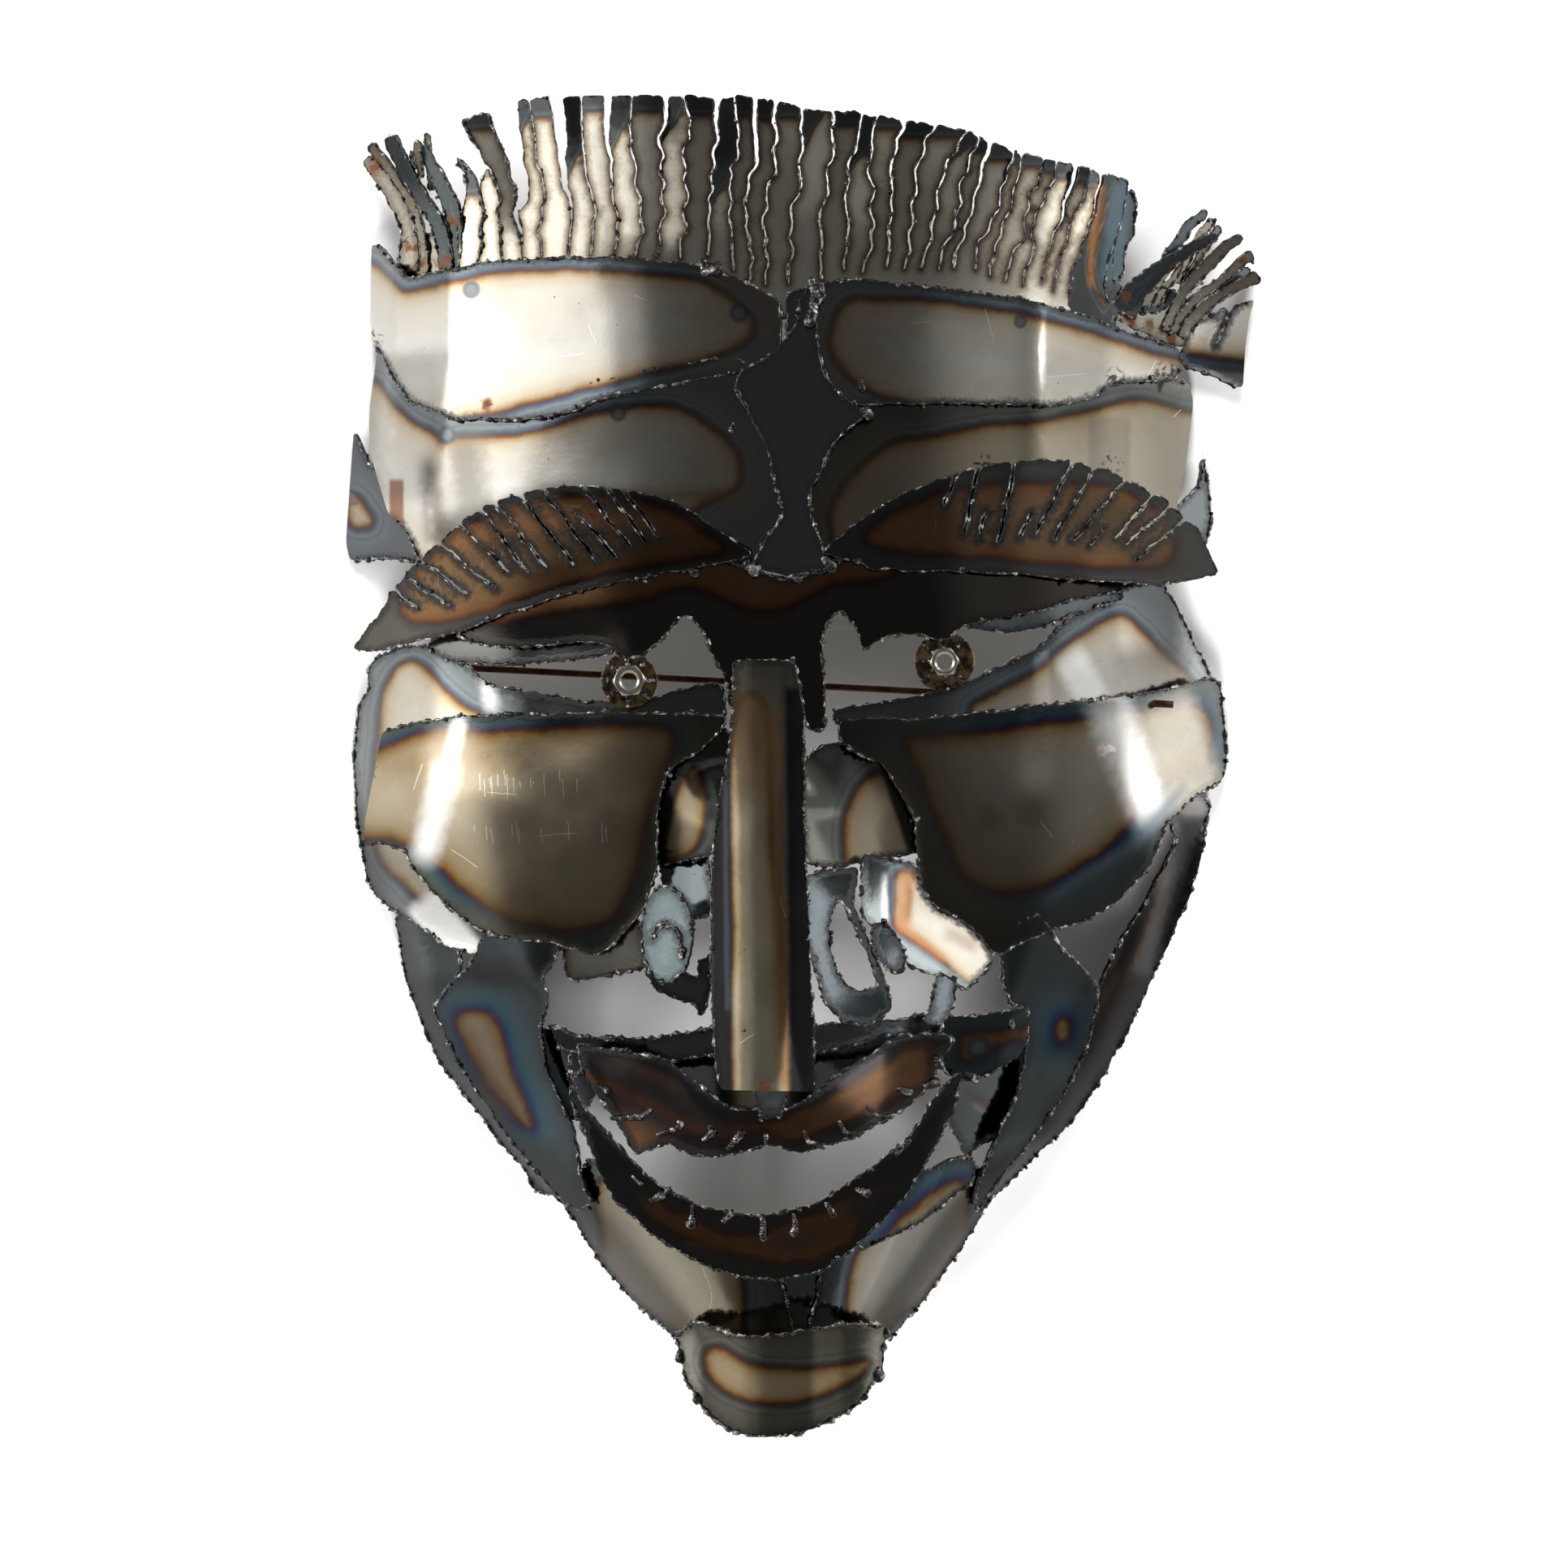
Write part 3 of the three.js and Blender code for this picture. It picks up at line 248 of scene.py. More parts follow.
def marked(wire, flat, plate, colour, rough):
    # Round heat marks, rust, soot and long scratches at known places, and broad bands of tint, painted
    # shade and painted highlight
    ragged = cloud(wire, flat, 5, 4)
    for kind, x, y, size in plate.get("marks", []):
        centre = toMillimetres([(x, y)])[0] * mm
        away = wire.node("ShaderNodeVectorMath", {"operation": "DISTANCE"},
                         {0: flat, 1: (centre[0], centre[1], 0)}, out=1)
        away = away * (1 / (size * traceUnit * mm))
        if kind == "disc":
            colour = away.between(0.75, 1.1, 0.75, 0.0).blend(colour, (0.075, 0.090, 0.110))
            colour = away.between(0.35, 0.6, 0.7, 0.0).blend(colour, (0.180, 0.215, 0.240))
        elif kind == "rust":
            share = (away + (ragged - 0.5) * 3.0).between(0.2, 1.1, 0.85, 0.0)
            colour = share.blend(colour, (0.230, 0.075, 0.028))
            rough = rough + share * 0.4
        elif kind == "soot":
            crumbs = cloud(wire, flat, 2.4, 4).between(0.50, 0.58)
            share = (away + (ragged - 0.5) * 0.8).between(0.5, 1.1, 0.9, 0.0) * crumbs
            colour = share.blend(colour, (0.030, 0.028, 0.027))
        elif kind == "scorch":
            share = (away + (ragged - 0.5) * 0.4).between(0.1, 1.1, 0.50, 0.0)
            colour = share.blend(colour, (0.170, 0.135, 0.090))
    for x, y, endX, endY in plate.get("scratches", []):
        across, inside, reach = lineOver(wire, flat, x, y, endX, endY)
        across = wire.maths("ABSOLUTE", across + (ragged - 0.5) * 1.5 * mm)
        share = across.between(0.08 * mm, 0.36 * mm, 0.55, 0.0) * inside.between(
            reach * 0.4, reach * 0.52, 1.0, 0.0)
        colour = share.blend(colour, (0.800, 0.780, 0.720))
    # Broad bands along lines. Some are painted shade, painted shadow and painted highlights, and the rest
    # are tint and rust: line, half width, softness, strength and colour
    for x, y, endX, endY, half, soft, strength, shade in plate.get("bands", []):
        across, inside, reach = lineOver(wire, flat, x, y, endX, endY)
        across = wire.maths("ABSOLUTE", across + (ragged - 0.5) * soft * 0.4 * traceUnit * mm)
        low, high = (half - soft / 2) * traceUnit * mm, (half + soft / 2) * traceUnit * mm
        share = across.between(low, high, strength, 0.0) * inside.between(
            reach / 2 - soft * traceUnit * mm / 2, reach / 2 + soft * traceUnit * mm, 1.0, 0.0)
        colour = share.blend(colour, bandColours[shade])
    return colour, rough


def plateMaterial(plate):
    material, wire, shader = newMaterial(plate["node"] + "Steel")
    onPiece = wire.node("ShaderNodeTexCoord", out=3)
    flat = wire.node("ShaderNodeVectorMath", {"operation": "MULTIPLY"}, {0: onPiece, 1: (1, 1, 0)})
    shift = 0.37 * plate["seed"]
    place = wire.node("ShaderNodeVectorMath", {"operation": "ADD"}, {0: onPiece, 1: (shift,) * 3})
    tint = wire.node("ShaderNodeAttribute", {"attribute_name": "tint"}, out=2)
    rim = wire.node("ShaderNodeAttribute", {"attribute_name": "rim"}, out=2)
    broad = cloud(wire, place, 40, 2)
    middle = cloud(wire, place, 11, 3)
    fine = cloud(wire, place, 2.0, 4)
    look = plate.get("look", "bare")
    heat = tint + (broad - 0.5) * plate.get("drift", 3.0) + (fine - 0.5) * 0.7
    share = (heat - rampLow) / (rampHigh - rampLow)
    colour = wire.node("ShaderNodeValToRGB", {"stops": heatRamp(look)}, {0: share})
    # Stains and smoke over the bare part of the sheet
    isBare = heat.between(3, 12)
    stain = broad.between(0.50, 0.75) * isBare * plate.get("stain", 0.25)
    colour = stain.blend(colour, plate.get("warm", (0.400, 0.310, 0.200)))
    smoke = middle.between(0.55, 0.80) * plate.get("smoke", 0.09)
    colour = smoke.blend(colour, (0.200, 0.185, 0.165))
    # The scale that crumbles along a torch cut
    crust = (rim / 1.5 + (fine - 0.5) * 3.0).between(0.4, 2.4, 1.0, 0.0) * plate.get("crust", 0.9)
    colour = crust.blend(colour, (0.075, 0.082, 0.088))
    # A colour over the heat colours, fitted to how bright each plate looks: partly its own colour and
    # partly painted light and painted shade
    if "tone" in plate:
        colour = wire.node("ShaderNodeMix", {"data_type": "RGBA", "blend_type": "MULTIPLY"},
                           {0: 1.0, 6: colour, 7: (*plate["tone"], 1)}, out=2)
    # Pits, specks and fine scratches along the rolling direction
    pits = wire.node("ShaderNodeTexVoronoi", {}, {"Vector": place, "Scale": 1 / (8 * mm)})
    pit = pits.between(0.03, 0.06, 1.0, 0.0) * fine.between(0.44, 0.56)
    colour = (pit * 0.8).blend(colour, (0.050, 0.042, 0.034))
    lines = cloud(wire, place, 3.0, 2, stretch=(5.0, 0.30, 1.0))
    scratch = lines.between(0.66, 0.74) * middle.between(0.45, 0.6) * isBare
    colour = (scratch * 0.30).blend(colour, (0.720, 0.700, 0.650))
    rough = 0.17 + (middle - 0.5) * 0.07 + crust * 0.18
    rough = rough + heat.between(-2, 3, -0.06, 0.0)
    colour, rough = marked(wire, flat, plate, colour, rough)
    relief = fine * 0.25 + lines * isBare * 0.12 - pit * 0.7 + crust * fine * 1.8
    bump = wire.node("ShaderNodeBump", {}, {"Height": relief, "Strength": 0.16, "Distance": 0.25 * mm})
    connect(shader, colour=colour, rough=rough.larger(0.09), metal=1.0, normal=bump)
    return material


def meltedMaterial():
    # The glassy bead of melted steel along a cut
    material, wire, shader = newMaterial("meltedEdge")
    place = wire.node("ShaderNodeTexCoord", out=3)
    patches = cloud(wire, place, 3, 3)
    fine = cloud(wire, place, 0.9, 3)
    stops = [(0.30, (0.040, 0.041, 0.043)), (0.48, (0.090, 0.090, 0.092)), (0.58, (0.26, 0.25, 0.235)),
             (0.66, (0.84, 0.84, 0.82))]
    colour = wire.node("ShaderNodeValToRGB", {"stops": stops}, {0: patches})
    bump = wire.node("ShaderNodeBump", {}, {"Height": fine, "Strength": 1.0, "Distance": 0.35 * mm})
    connect(shader, colour=colour, rough=0.13 + patches.between(0.4, 0.7) * 0.15, metal=1.0, normal=bump)
    return material


def plainMetal(name, colour, rough, spread=0.25, size=3.0):
    # Clouded metal for the small round parts
    material, wire, shader = newMaterial(name)
    place = wire.node("ShaderNodeTexCoord", out=3)
    patches = cloud(wire, place, size, 4)
    darker = tuple(value * (1 - spread) for value in colour)
    tone = patches.between(0.35, 0.65).blend(darker, colour)
    bump = wire.node("ShaderNodeBump", {}, {"Height": patches, "Strength": 0.3, "Distance": 0.15 * mm})
    connect(shader, colour=tone, rough=rough + (patches - 0.5) * 0.2, metal=1.0, normal=bump)
    return material


melted = meltedMaterial()
zincSteel = plainMetal("zincSteel", (0.66, 0.64, 0.58), 0.24)
goldSteel = plainMetal("goldSteel", (0.34, 0.24, 0.12), 0.30, 0.8, 4.5)
rodSteel = plainMetal("rodSteel", (0.17, 0.085, 0.050), 0.42, 0.5, 6.0)
print("materials ready")


# The torch-cut edge, grown by Geometry Nodes
def cutEdgeTree():
    # A noisy bead along a polyline, with droplets of slag thrown beside it
    tree = bpy.data.node_groups.new("cutEdge", "GeometryNodeTree")
    face = tree.interface
    face.new_socket("Geometry", in_out="INPUT", socket_type="NodeSocketGeometry")
    for name in ("Spacing", "Radius", "Wander", "Share of droplets", "Droplet size"):
        face.new_socket(name, in_out="INPUT", socket_type="NodeSocketFloat")
    face.new_socket("Seed", in_out="INPUT", socket_type="NodeSocketInt")
    face.new_socket("Material", in_out="INPUT", socket_type="NodeSocketMaterial")
    face.new_socket("Geometry", in_out="OUTPUT", socket_type="NodeSocketGeometry")
    wire = Wire(tree)
    given = tree.nodes.new("NodeGroupInput")
    value = {socket.name: Wire(tree, socket) for socket in given.outputs if socket.name}
    curve = wire.node("GeometryNodeMeshToCurve", {}, {0: value["Geometry"]})
    curve = wire.node("GeometryNodeResampleCurve", {"mode": "LENGTH"},
                      {"Curve": curve, "Length": value["Spacing"]})
    place = wire.node("GeometryNodeInputPosition")
    ripple = wire.node("ShaderNodeTexNoise", {}, {"Vector": place, "Scale": 420.0, "Detail": 2.0}, out=1)
    ripple = wire.node("ShaderNodeVectorMath", {"operation": "SUBTRACT"}, {0: ripple, 1: (0.5,) * 3})
    ripple = wire.node("ShaderNodeVectorMath", {"operation": "SCALE"}, {0: ripple, 3: value["Wander"]})
    curve = wire.node("GeometryNodeSetPosition", {}, {"Geometry": curve, "Offset": ripple})
    swell = wire.node("ShaderNodeTexNoise", {}, {"Vector": place, "Scale": 330.0, "Detail": 4.0})
    swell = swell.between(0.38, 0.72, 0.30, 3.2)
    ring = wire.node("GeometryNodeCurvePrimitiveCircle", {}, {"Resolution": 6, "Radius": 1.0})
    bead = wire.node("GeometryNodeCurveToMesh", {},
                     {"Curve": curve, "Profile Curve": ring, "Scale": swell * value["Radius"]})
    chosen = wire.node("FunctionNodeRandomValue", {"data_type": "BOOLEAN"},
                       {"Probability": value["Share of droplets"], "Seed": value["Seed"]}, out=3)
    size = wire.node("FunctionNodeRandomValue", {"data_type": "FLOAT"},
                     {2: 0.35, 3: 1.0, "Seed": value["Seed"] + 3}, out=1)
    size = size * size * value["Droplet size"]
    aside = wire.node("FunctionNodeRandomValue", {"data_type": "FLOAT_VECTOR"},
                      {0: (-0.0007, -0.0007, -0.0003), 1: (0.0007, 0.0007, 0.0004),
                       "Seed": value["Seed"] + 7})
    points = wire.node("GeometryNodeSetPosition", {}, {"Geometry": curve, "Offset": aside})
    ball = wire.node("GeometryNodeMeshUVSphere", {}, {"Segments": 8, "Rings": 5, "Radius": 1.0})
    drops = wire.node("GeometryNodeInstanceOnPoints", {},
                      {"Points": points, "Selection": chosen, "Instance": ball, "Scale": size})
    drops = wire.node("GeometryNodeRealizeInstances", {}, {0: drops})
    both = tree.nodes.new("GeometryNodeJoinGeometry")
    tree.links.new(bead.socket, both.inputs[0])
    tree.links.new(drops.socket, both.inputs[0])
    done = wire.node("GeometryNodeSetMaterial", {},
                     {"Geometry": Wire(tree, both.outputs[0]), "Material": value["Material"]})
    result = tree.nodes.new("NodeGroupOutput")
    tree.links.new(done.socket, result.inputs[0])
    return tree


cutEdge = cutEdgeTree()


def grown(tree, chains, **inputs):
    # The mesh that a tree grows along some polylines, given in millimetres
    points = [tuple(point) for chain in chains for point in chain["points"]]
    edges = []
    start = 0
    for chain in chains:
        count = len(chain["points"])
        edges += [(start + index, start + index + 1) for index in range(count - 1)]
        if chain["closed"]:
            edges.append((start + count - 1, start))
        start += count
    mesh = bpy.data.meshes.new("path")
    mesh.from_pydata([(x * mm, y * mm, z * mm) for x, y, z in points], edges, [])
    carrier = bpy.data.objects.new("path", mesh)
    bpy.context.scene.collection.objects.link(carrier)
    modifier = carrier.modifiers.new("grow", "NODES")
    modifier.node_group = tree
    sockets = {item.name: item.identifier for item in tree.interface.items_tree
               if item.in_out == "INPUT"}
    for name, value in inputs.items():
        modifier[sockets[name.replace("_", " ")]] = value
    graph = bpy.context.evaluated_depsgraph_get()
    evaluated = carrier.evaluated_get(graph)
    result = bpy.data.meshes.new_from_object(evaluated)
    carrier.modifiers.remove(modifier)
    points = np.empty(len(result.vertices) * 3)
    result.vertices.foreach_get("co", points)
    faces = [tuple(polygon.vertices) for polygon in result.polygons]
    bpy.data.objects.remove(carrier)
    bpy.data.meshes.remove(mesh)
    bpy.data.meshes.remove(result)
    return points.reshape(-1, 3) / mm, faces


# The fronts of the solid plates
def frontOf(name):
    # Merged points and the upward faces of a node, in millimetres
    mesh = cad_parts[name].data
    places = np.empty(len(mesh.vertices) * 3)
    mesh.vertices.foreach_get("co", places)
    mesh.calc_loop_triangles()
    faces = np.empty(len(mesh.loop_triangles) * 3, int)
    mesh.loop_triangles.foreach_get("vertices", faces)
    weld = 0.002
    keys, index = np.unique(np.round(places.reshape(-1, 3) / mm / weld).astype(int), axis=0,
                            return_inverse=True)
    points = keys * weld
    faces = index.reshape(-1)[faces].reshape(-1, 3)
    first, second, third = (points[faces[:, corner]] for corner in range(3))
    normals = np.cross(second - first, third - first)
    lengths = np.linalg.norm(normals, axis=1)
    keep = (lengths > 1e-4) & (normals[:, 2] > 0.03 * lengths)
    return points, faces[keep]


def loopsOf(faces):
    # The closed boundary loops of a set of triangles, as lists of point numbers
    sides = {(int(face[a]), int(face[b])) for face in faces for a, b in ((0, 1), (1, 2), (2, 0))}
    following = {}
    for a, b in sorted(sides):
        if (b, a) not in sides:
            following.setdefault(a, []).append(b)
    loops = []
    while following:
        start = next(iter(following))
        loop = [start]
        current = start
        while True:
            ways = following[current]
            after = ways.pop()
            if not ways:
                del following[current]
            if after == start or after not in following:
                break
            loop.append(after)
            current = after
        if len(loop) > 2:
            loops.append(loop)
    return loops


def insideOf(points, loops):
    # Which points lie inside an odd number of closed loops
    inside = np.zeros(len(points), bool)
    x, y = points[:, 0][:, None], points[:, 1][:, None]
    for loop in loops:
        start, end = loop, np.roll(loop, -1, 0)
        crosses = (start[:, 1] > y) != (end[:, 1] > y)
        rise = np.where(end[:, 1] == start[:, 1], 1e-9, end[:, 1] - start[:, 1])
        where = start[:, 0] + (y - start[:, 1]) * (end[:, 0] - start[:, 0]) / rise
        inside ^= (crosses & (x < where)).sum(1) % 2 == 1
    return inside


def distanceTo(points, starts, ends):
    # From each point to the nearest of some short lines, a slice of the points at a time
    result = np.full(len(points), 1e3)
    if not len(starts):
        return result
    batch = 1500
    for low in range(0, len(points), batch):
        part = points[low:low + batch, None, :]
        along = ends - starts
        share = ((part - starts) * along).sum(2) / np.maximum((along ** 2).sum(1), 1e-9)
        nearest = starts + np.clip(share, 0, 1)[:, :, None] * along
        result[low:low + batch] = np.sqrt(((part - nearest) ** 2).sum(2)).min(1)
    return result


def softened(loop):
    # Cuts the corners of a closed loop, twice
    for _ in range(2):
        after = np.roll(loop, -1, 0)
        loop = np.stack([0.75 * loop + 0.25 * after, 0.25 * loop + 0.75 * after], 1).reshape(-1, 2)
    return loop


def evenLoop(loop, spacing, rounding):
    # A closed loop with points at even steps and its corners a little rounded
    closest = 0.35
    kept = [loop[0]]
    for point in loop[1:]:
        if np.linalg.norm(point - kept[-1]) > closest:
            kept.append(point)
    loop = np.array(kept)
    result = []
    for start, end in zip(loop, np.roll(loop, -1, 0)):
        count = max(1, round(np.linalg.norm(end - start) / spacing))
        result += [start + (end - start) * step / count for step in range(count)]
    result = np.array(result)
    for _ in range(rounding):
        result = 0.5 * result + 0.25 * (np.roll(result, 1, 0) + np.roll(result, -1, 0))
    return result


class Front:
    # The height of a plate's front over the floor: a soft bulge, crisp only at some folds
    def __init__(self, points, faces, ease, folds=(), step=1.8):
        tree = BVHTree.FromPolygons(points.tolist(), faces.tolist())
        used = points[np.unique(faces)]
        margin = 8
        self.low = used[:, :2].min(0) - margin
        self.step = step
        count = np.ceil((used[:, :2].max(0) + margin - self.low) / step).astype(int) + 1
        self.xs = self.low[0] + step * np.arange(count[0])
        self.ys = self.low[1] + step * np.arange(count[1])
        heights = np.zeros((count[1], count[0]))
        there = np.zeros_like(heights)
        for row, y in enumerate(self.ys):
            for column, x in enumerate(self.xs):
                hit = tree.ray_cast(Vector((x, y, skyHeight)), down)[0]
                if hit is not None:
                    heights[row, column] = hit.z
                    there[row, column] = 1
        close, weight = self.fit(heights, there, ease)
        far, _ = self.fit(heights, there, max(3 * ease, 8))
        share = np.clip(weight / 0.6, 0, 1)
        self.heights = share * close + (1 - share) * far
        if folds:
            crisp, weight = self.fit(heights, there, 2.2)
            foldPlaces = toMillimetres([(fold, 0) for fold in folds])[:, 0]
            away = np.abs(self.xs[:, None] - foldPlaces[None, :]).min(1)
            share = np.clip(1.5 - away / 14, 0, 1)[None, :] * np.clip(weight / 0.6, 0, 1)
            self.heights = share * crisp + (1 - share) * self.heights

    def fit(self, heights, there, ease):
        # A plane through the points around each place
        across = np.exp(-0.5 * ((self.xs[:, None] - self.xs[None, :]) / ease) ** 2)
        along = np.exp(-0.5 * ((self.ys[:, None] - self.ys[None, :]) / ease) ** 2)
        x, y = np.meshgrid(self.xs - self.xs.mean(), self.ys - self.ys.mean())

        def gathered(values):
            return along @ (there * values) @ across

        one = gathered(np.ones_like(x))
        sx, sy = gathered(x) - x * one, gathered(y) - y * one
        sxx = gathered(x * x) - 2 * x * gathered(x) + x * x * one
        syy = gathered(y * y) - 2 * y * gathered(y) + y * y * one
        sxy = gathered(x * y) - x * gathered(y) - y * gathered(x) + x * y * one
        sz = gathered(heights)
        sxz = gathered(x * heights) - x * sz
        syz = gathered(y * heights) - y * sz
        soft = 1e-3 * ease ** 2
        sums = np.stack([one + 1e-9, sx, sy, sx, sxx + soft, sxy, sy, sxy, syy + soft], -1)
        sides = np.stack([sz, sxz, syz], -1)[..., None]
        found = np.linalg.solve(sums.reshape(*one.shape, 3, 3), sides)
        return found[..., 0, 0], one

    def __call__(self, points):
        places = (points[:, :2] - self.low) / self.step
        limit = np.array([len(self.xs), len(self.ys)]) - 1.001
        places = np.clip(places, 0, limit)
        column, row = places.astype(int).T
        u, v = (places - places.astype(int)).T
        grid = self.heights
        return ((grid[row, column] * (1 - u) + grid[row, column + 1] * u) * (1 - v)
                + (grid[row + 1, column] * (1 - u) + grid[row + 1, column + 1] * u) * v)


# Bent sheets
noiseSeed = 1
noise.seed_set(noiseSeed)  # the same shifts on every run


def drift(points, size, seed, reach):
    # A smooth random shift of each point, in millimetres
    shifts = [noise.noise_vector(Vector((x / size, y / size, 7.3 * seed)))
              for x, y in points[:, :2]]
    return np.array([[shift.x, shift.y, shift.z] for shift in shifts]) * reach


def hexagonPoints(loops, spacing, seed):
    # Loosely even points inside an outline, in staggered rows
    every = np.vstack(loops)
    low, high = every.min(0), every.max(0)
    chance = np.random.default_rng(seed)
    rows = np.arange(low[1], high[1], spacing * 0.87)
    points = []
    for number, y in enumerate(rows):
        xs = np.arange(low[0] + (number % 2) * spacing / 2, high[0], spacing)
        points.append(np.column_stack([xs, np.full_like(xs, y)]))
    points = np.vstack(points)
    points += chance.uniform(-0.22, 0.22, points.shape) * spacing
    points = points[insideOf(points, loops)]
    starts = every
    ends = np.vstack([np.roll(loop, -1, 0) for loop in loops])
    return points[distanceTo(points, starts, ends) > 0.55 * spacing]


def triangulated(loops, spacing, seed):
    # The flat sheet inside an outline and its holes, as points and triangles
    inner = hexagonPoints(loops, spacing, seed)
    points = np.vstack([*loops, inner])
    edges = []
    start = 0
    for loop in loops:
        count = len(loop)
        edges += [(start + index, start + (index + 1) % count) for index in range(count)]
        start += count
    found = delaunay_2d_cdt([Vector(point) for point in points.tolist()], edges, [], 0, 1e-5)
    flat = np.array([vertex[:] for vertex in found[0]])
    faces = np.array([face for face in found[2] if len(face) == 3])
    middles = flat[faces].mean(1)
    first, second, third = (flat[faces[:, corner]] for corner in range(3))
    area = ((second - first)[:, 0] * (third - first)[:, 1]
            - (second - first)[:, 1] * (third - first)[:, 0])
    keep = insideOf(middles, loops) & (np.abs(area) > 1e-7)
    faces, area = faces[keep], area[keep]
    faces[area < 0] = faces[area < 0][:, ::-1]
    used, index = np.unique(faces, return_inverse=True)
    return flat[used], index.reshape(-1, 3)


def vertexNormals(points, faces):
    first, second, third = (points[faces[:, corner]] for corner in range(3))
    normals = np.cross(second - first, third - first)
    result = np.zeros_like(points)
    for corner in range(3):
        np.add.at(result, faces[:, corner], normals)
    return result / np.maximum(np.linalg.norm(result, axis=1), 1e-9)[:, None]


def keptInside(points):
    # Nothing leaves the box of the solids
    gap = 0.02
    return np.clip(points, np.array(lowEnd) + gap, np.array(highEnd) - gap)


def bentSheet(plate, loops, front):
    # One sheet: its top and underside, its cut walls, and what the material needs to know
    spacing = plate.get("spacing", 3.0)
    seed = plate["seed"]
    flat, faces = triangulated(loops, spacing, seed)
    rims = [np.array(loop) for loop in loopsOf(faces)]
    starts = np.vstack([flat[rim] for rim in rims])
    ends = np.vstack([flat[np.roll(rim, -1)] for rim in rims])
    cold = [toMillimetres(line) for line in plate.get("cold", [])]
    if cold:
        coldStarts = np.vstack([line[:-1] for line in cold])
        coldEnds = np.vstack([line[1:] for line in cold])
        coldReach = 3.0
        isCold = distanceTo((starts + ends) / 2, coldStarts, coldEnds) < coldReach
        calm = np.clip((distanceTo(flat, coldStarts, coldEnds) - 2) / 6, 0, 1)[:, None]
    else:
        isCold = np.zeros(len(starts), bool)
        calm = np.ones((len(flat), 1))
    rim = distanceTo(flat, starts[~isCold], ends[~isCold])
    tint = rim - plate.get("band", 8.0)
    if "bare" in plate:
        farAway = -1e3
        tint = np.full(len(flat), farAway)
        for outline in plate["bare"]:
            island = softened(toMillimetres(outline))
            away = distanceTo(flat, island, np.roll(island, -1, 0))
            tint = np.maximum(tint, np.where(insideOf(flat, [island]), away, -away))
    if "tintAt" in plate:
        tint = plate["tintAt"](flat)
    if "sides" in plate:
        tint = np.minimum(tint, (rim - plate["sides"]) * 1.6)
    wave, waveSize = plate.get("wave", (0.7, 9.0))
    nibble = drift(flat, 3.2, seed + 50, plate.get("nibble", 0.55))
    warped = flat + calm * (drift(flat, waveSize, seed, wave) + nibble)[:, :2]
    atEdge = np.zeros(len(flat), bool)
    atEdge[np.concatenate(rims)] = True
    ragged = drift(flat, 1.1, seed + 90, plate.get("ragged", 0.40))[:, :2]
    shift = warped + calm * atEdge[:, None] * ragged - flat
    # No triangle may turn over where the edge is torn
    tries, leastArea = 8, 0.04
    for _ in range(tries):
        corners = (flat + shift)[faces]
        ahead, aside = corners[:, 1] - corners[:, 0], corners[:, 2] - corners[:, 0]
        turned = ahead[:, 0] * aside[:, 1] - ahead[:, 1] * aside[:, 0] < leastArea
        if not turned.any():
            break
        shift[np.unique(faces[turned])] *= 0.6
    warped = flat + shift
    heights = front(flat if plate.get("straight") else warped)
    heights = heights + drift(flat, 26, seed + 20, plate.get("dents", 0.35))[:, 2]
    heights = heights + (warped - warped.mean(0)) @ np.array(plate.get("lean", (0, 0)))
    top = keptInside(np.column_stack([warped, heights]))
    normals = vertexNormals(top, faces)
    under = keptInside(top - normals * sheetThickness)
    count = len(top)
    chains = []
    walls = []
    edge = 0
    for loop in rims:
        after = np.roll(loop, -1)
        walls += [(b, a, a + count, b + count) for a, b in zip(loop.tolist(), after.tolist())]
        quiet = isCold[edge:edge + len(loop)]
        edge += len(loop)
        if not quiet.any():
            chains.append({"points": top[loop], "closed": True})
            continue
        first = int(np.argmax(quiet))
        order = np.roll(loop, -first)
        quiet = np.roll(quiet, -first)
        run = []
        for vertex, isQuiet, following in zip(order, quiet, np.roll(order, -1)):
            if isQuiet:
                if len(run) > 2:
                    chains.append({"points": top[run], "closed": False})
                run = []
            else:
                run = run or [vertex]
                run.append(following)
        if len(run) > 2:
            chains.append({"points": top[run], "closed": False})
    every = faces.tolist() + (faces[:, ::-1] + count).tolist() + walls
    return {
        "points": np.vstack([top, under]),
        "faces": every,
        "kinds": [0] * len(faces) * 2 + [1] * len(walls),
        "tint": np.concatenate([tint, tint - 3]),
        "rim": np.concatenate([rim, rim]),
        "chains": chains,
    }


def pieceFrom(plate, parts, materials):
    # Joins parts into one object that stands for the CAD node
    points, faces, kinds, tint, rim = [], [], [], [], []
    start = 0
    for part in parts:
        count = len(part["points"])
        points.append(part["points"])
        faces += [tuple(corner + start for corner in face) for face in part["faces"]]
        kinds += part["kinds"]
        tint.append(part.get("tint", np.full(count, -12.0)))
        rim.append(part.get("rim", np.zeros(count)))
        start += count
    mesh = bpy.data.meshes.new(plate["node"] + "Sheet")
    mesh.from_pydata((np.vstack(points) * mm).tolist(), [], faces)
    for name, values in (("tint", tint), ("rim", rim)):
        mesh.attributes.new(name, "FLOAT", "POINT").data.foreach_set("value", np.concatenate(values))
    for material in materials:
        mesh.materials.append(material)
    kinds = np.array(kinds)
    mesh.polygons.foreach_set("material_index", (kinds == 2).astype(int))
    mesh.polygons.foreach_set("use_smooth", kinds != 1)
    mesh.validate()
    mesh.update()
    mesh.set_sharp_from_angle(angle=math.radians(plate.get("crease", 70)))
    piece = bpy.data.objects.new(plate["node"] + "Piece", mesh)
    bpy.context.scene.collection.objects.link(piece)
    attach(piece, "root")
    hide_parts(plate["node"])
    return piece


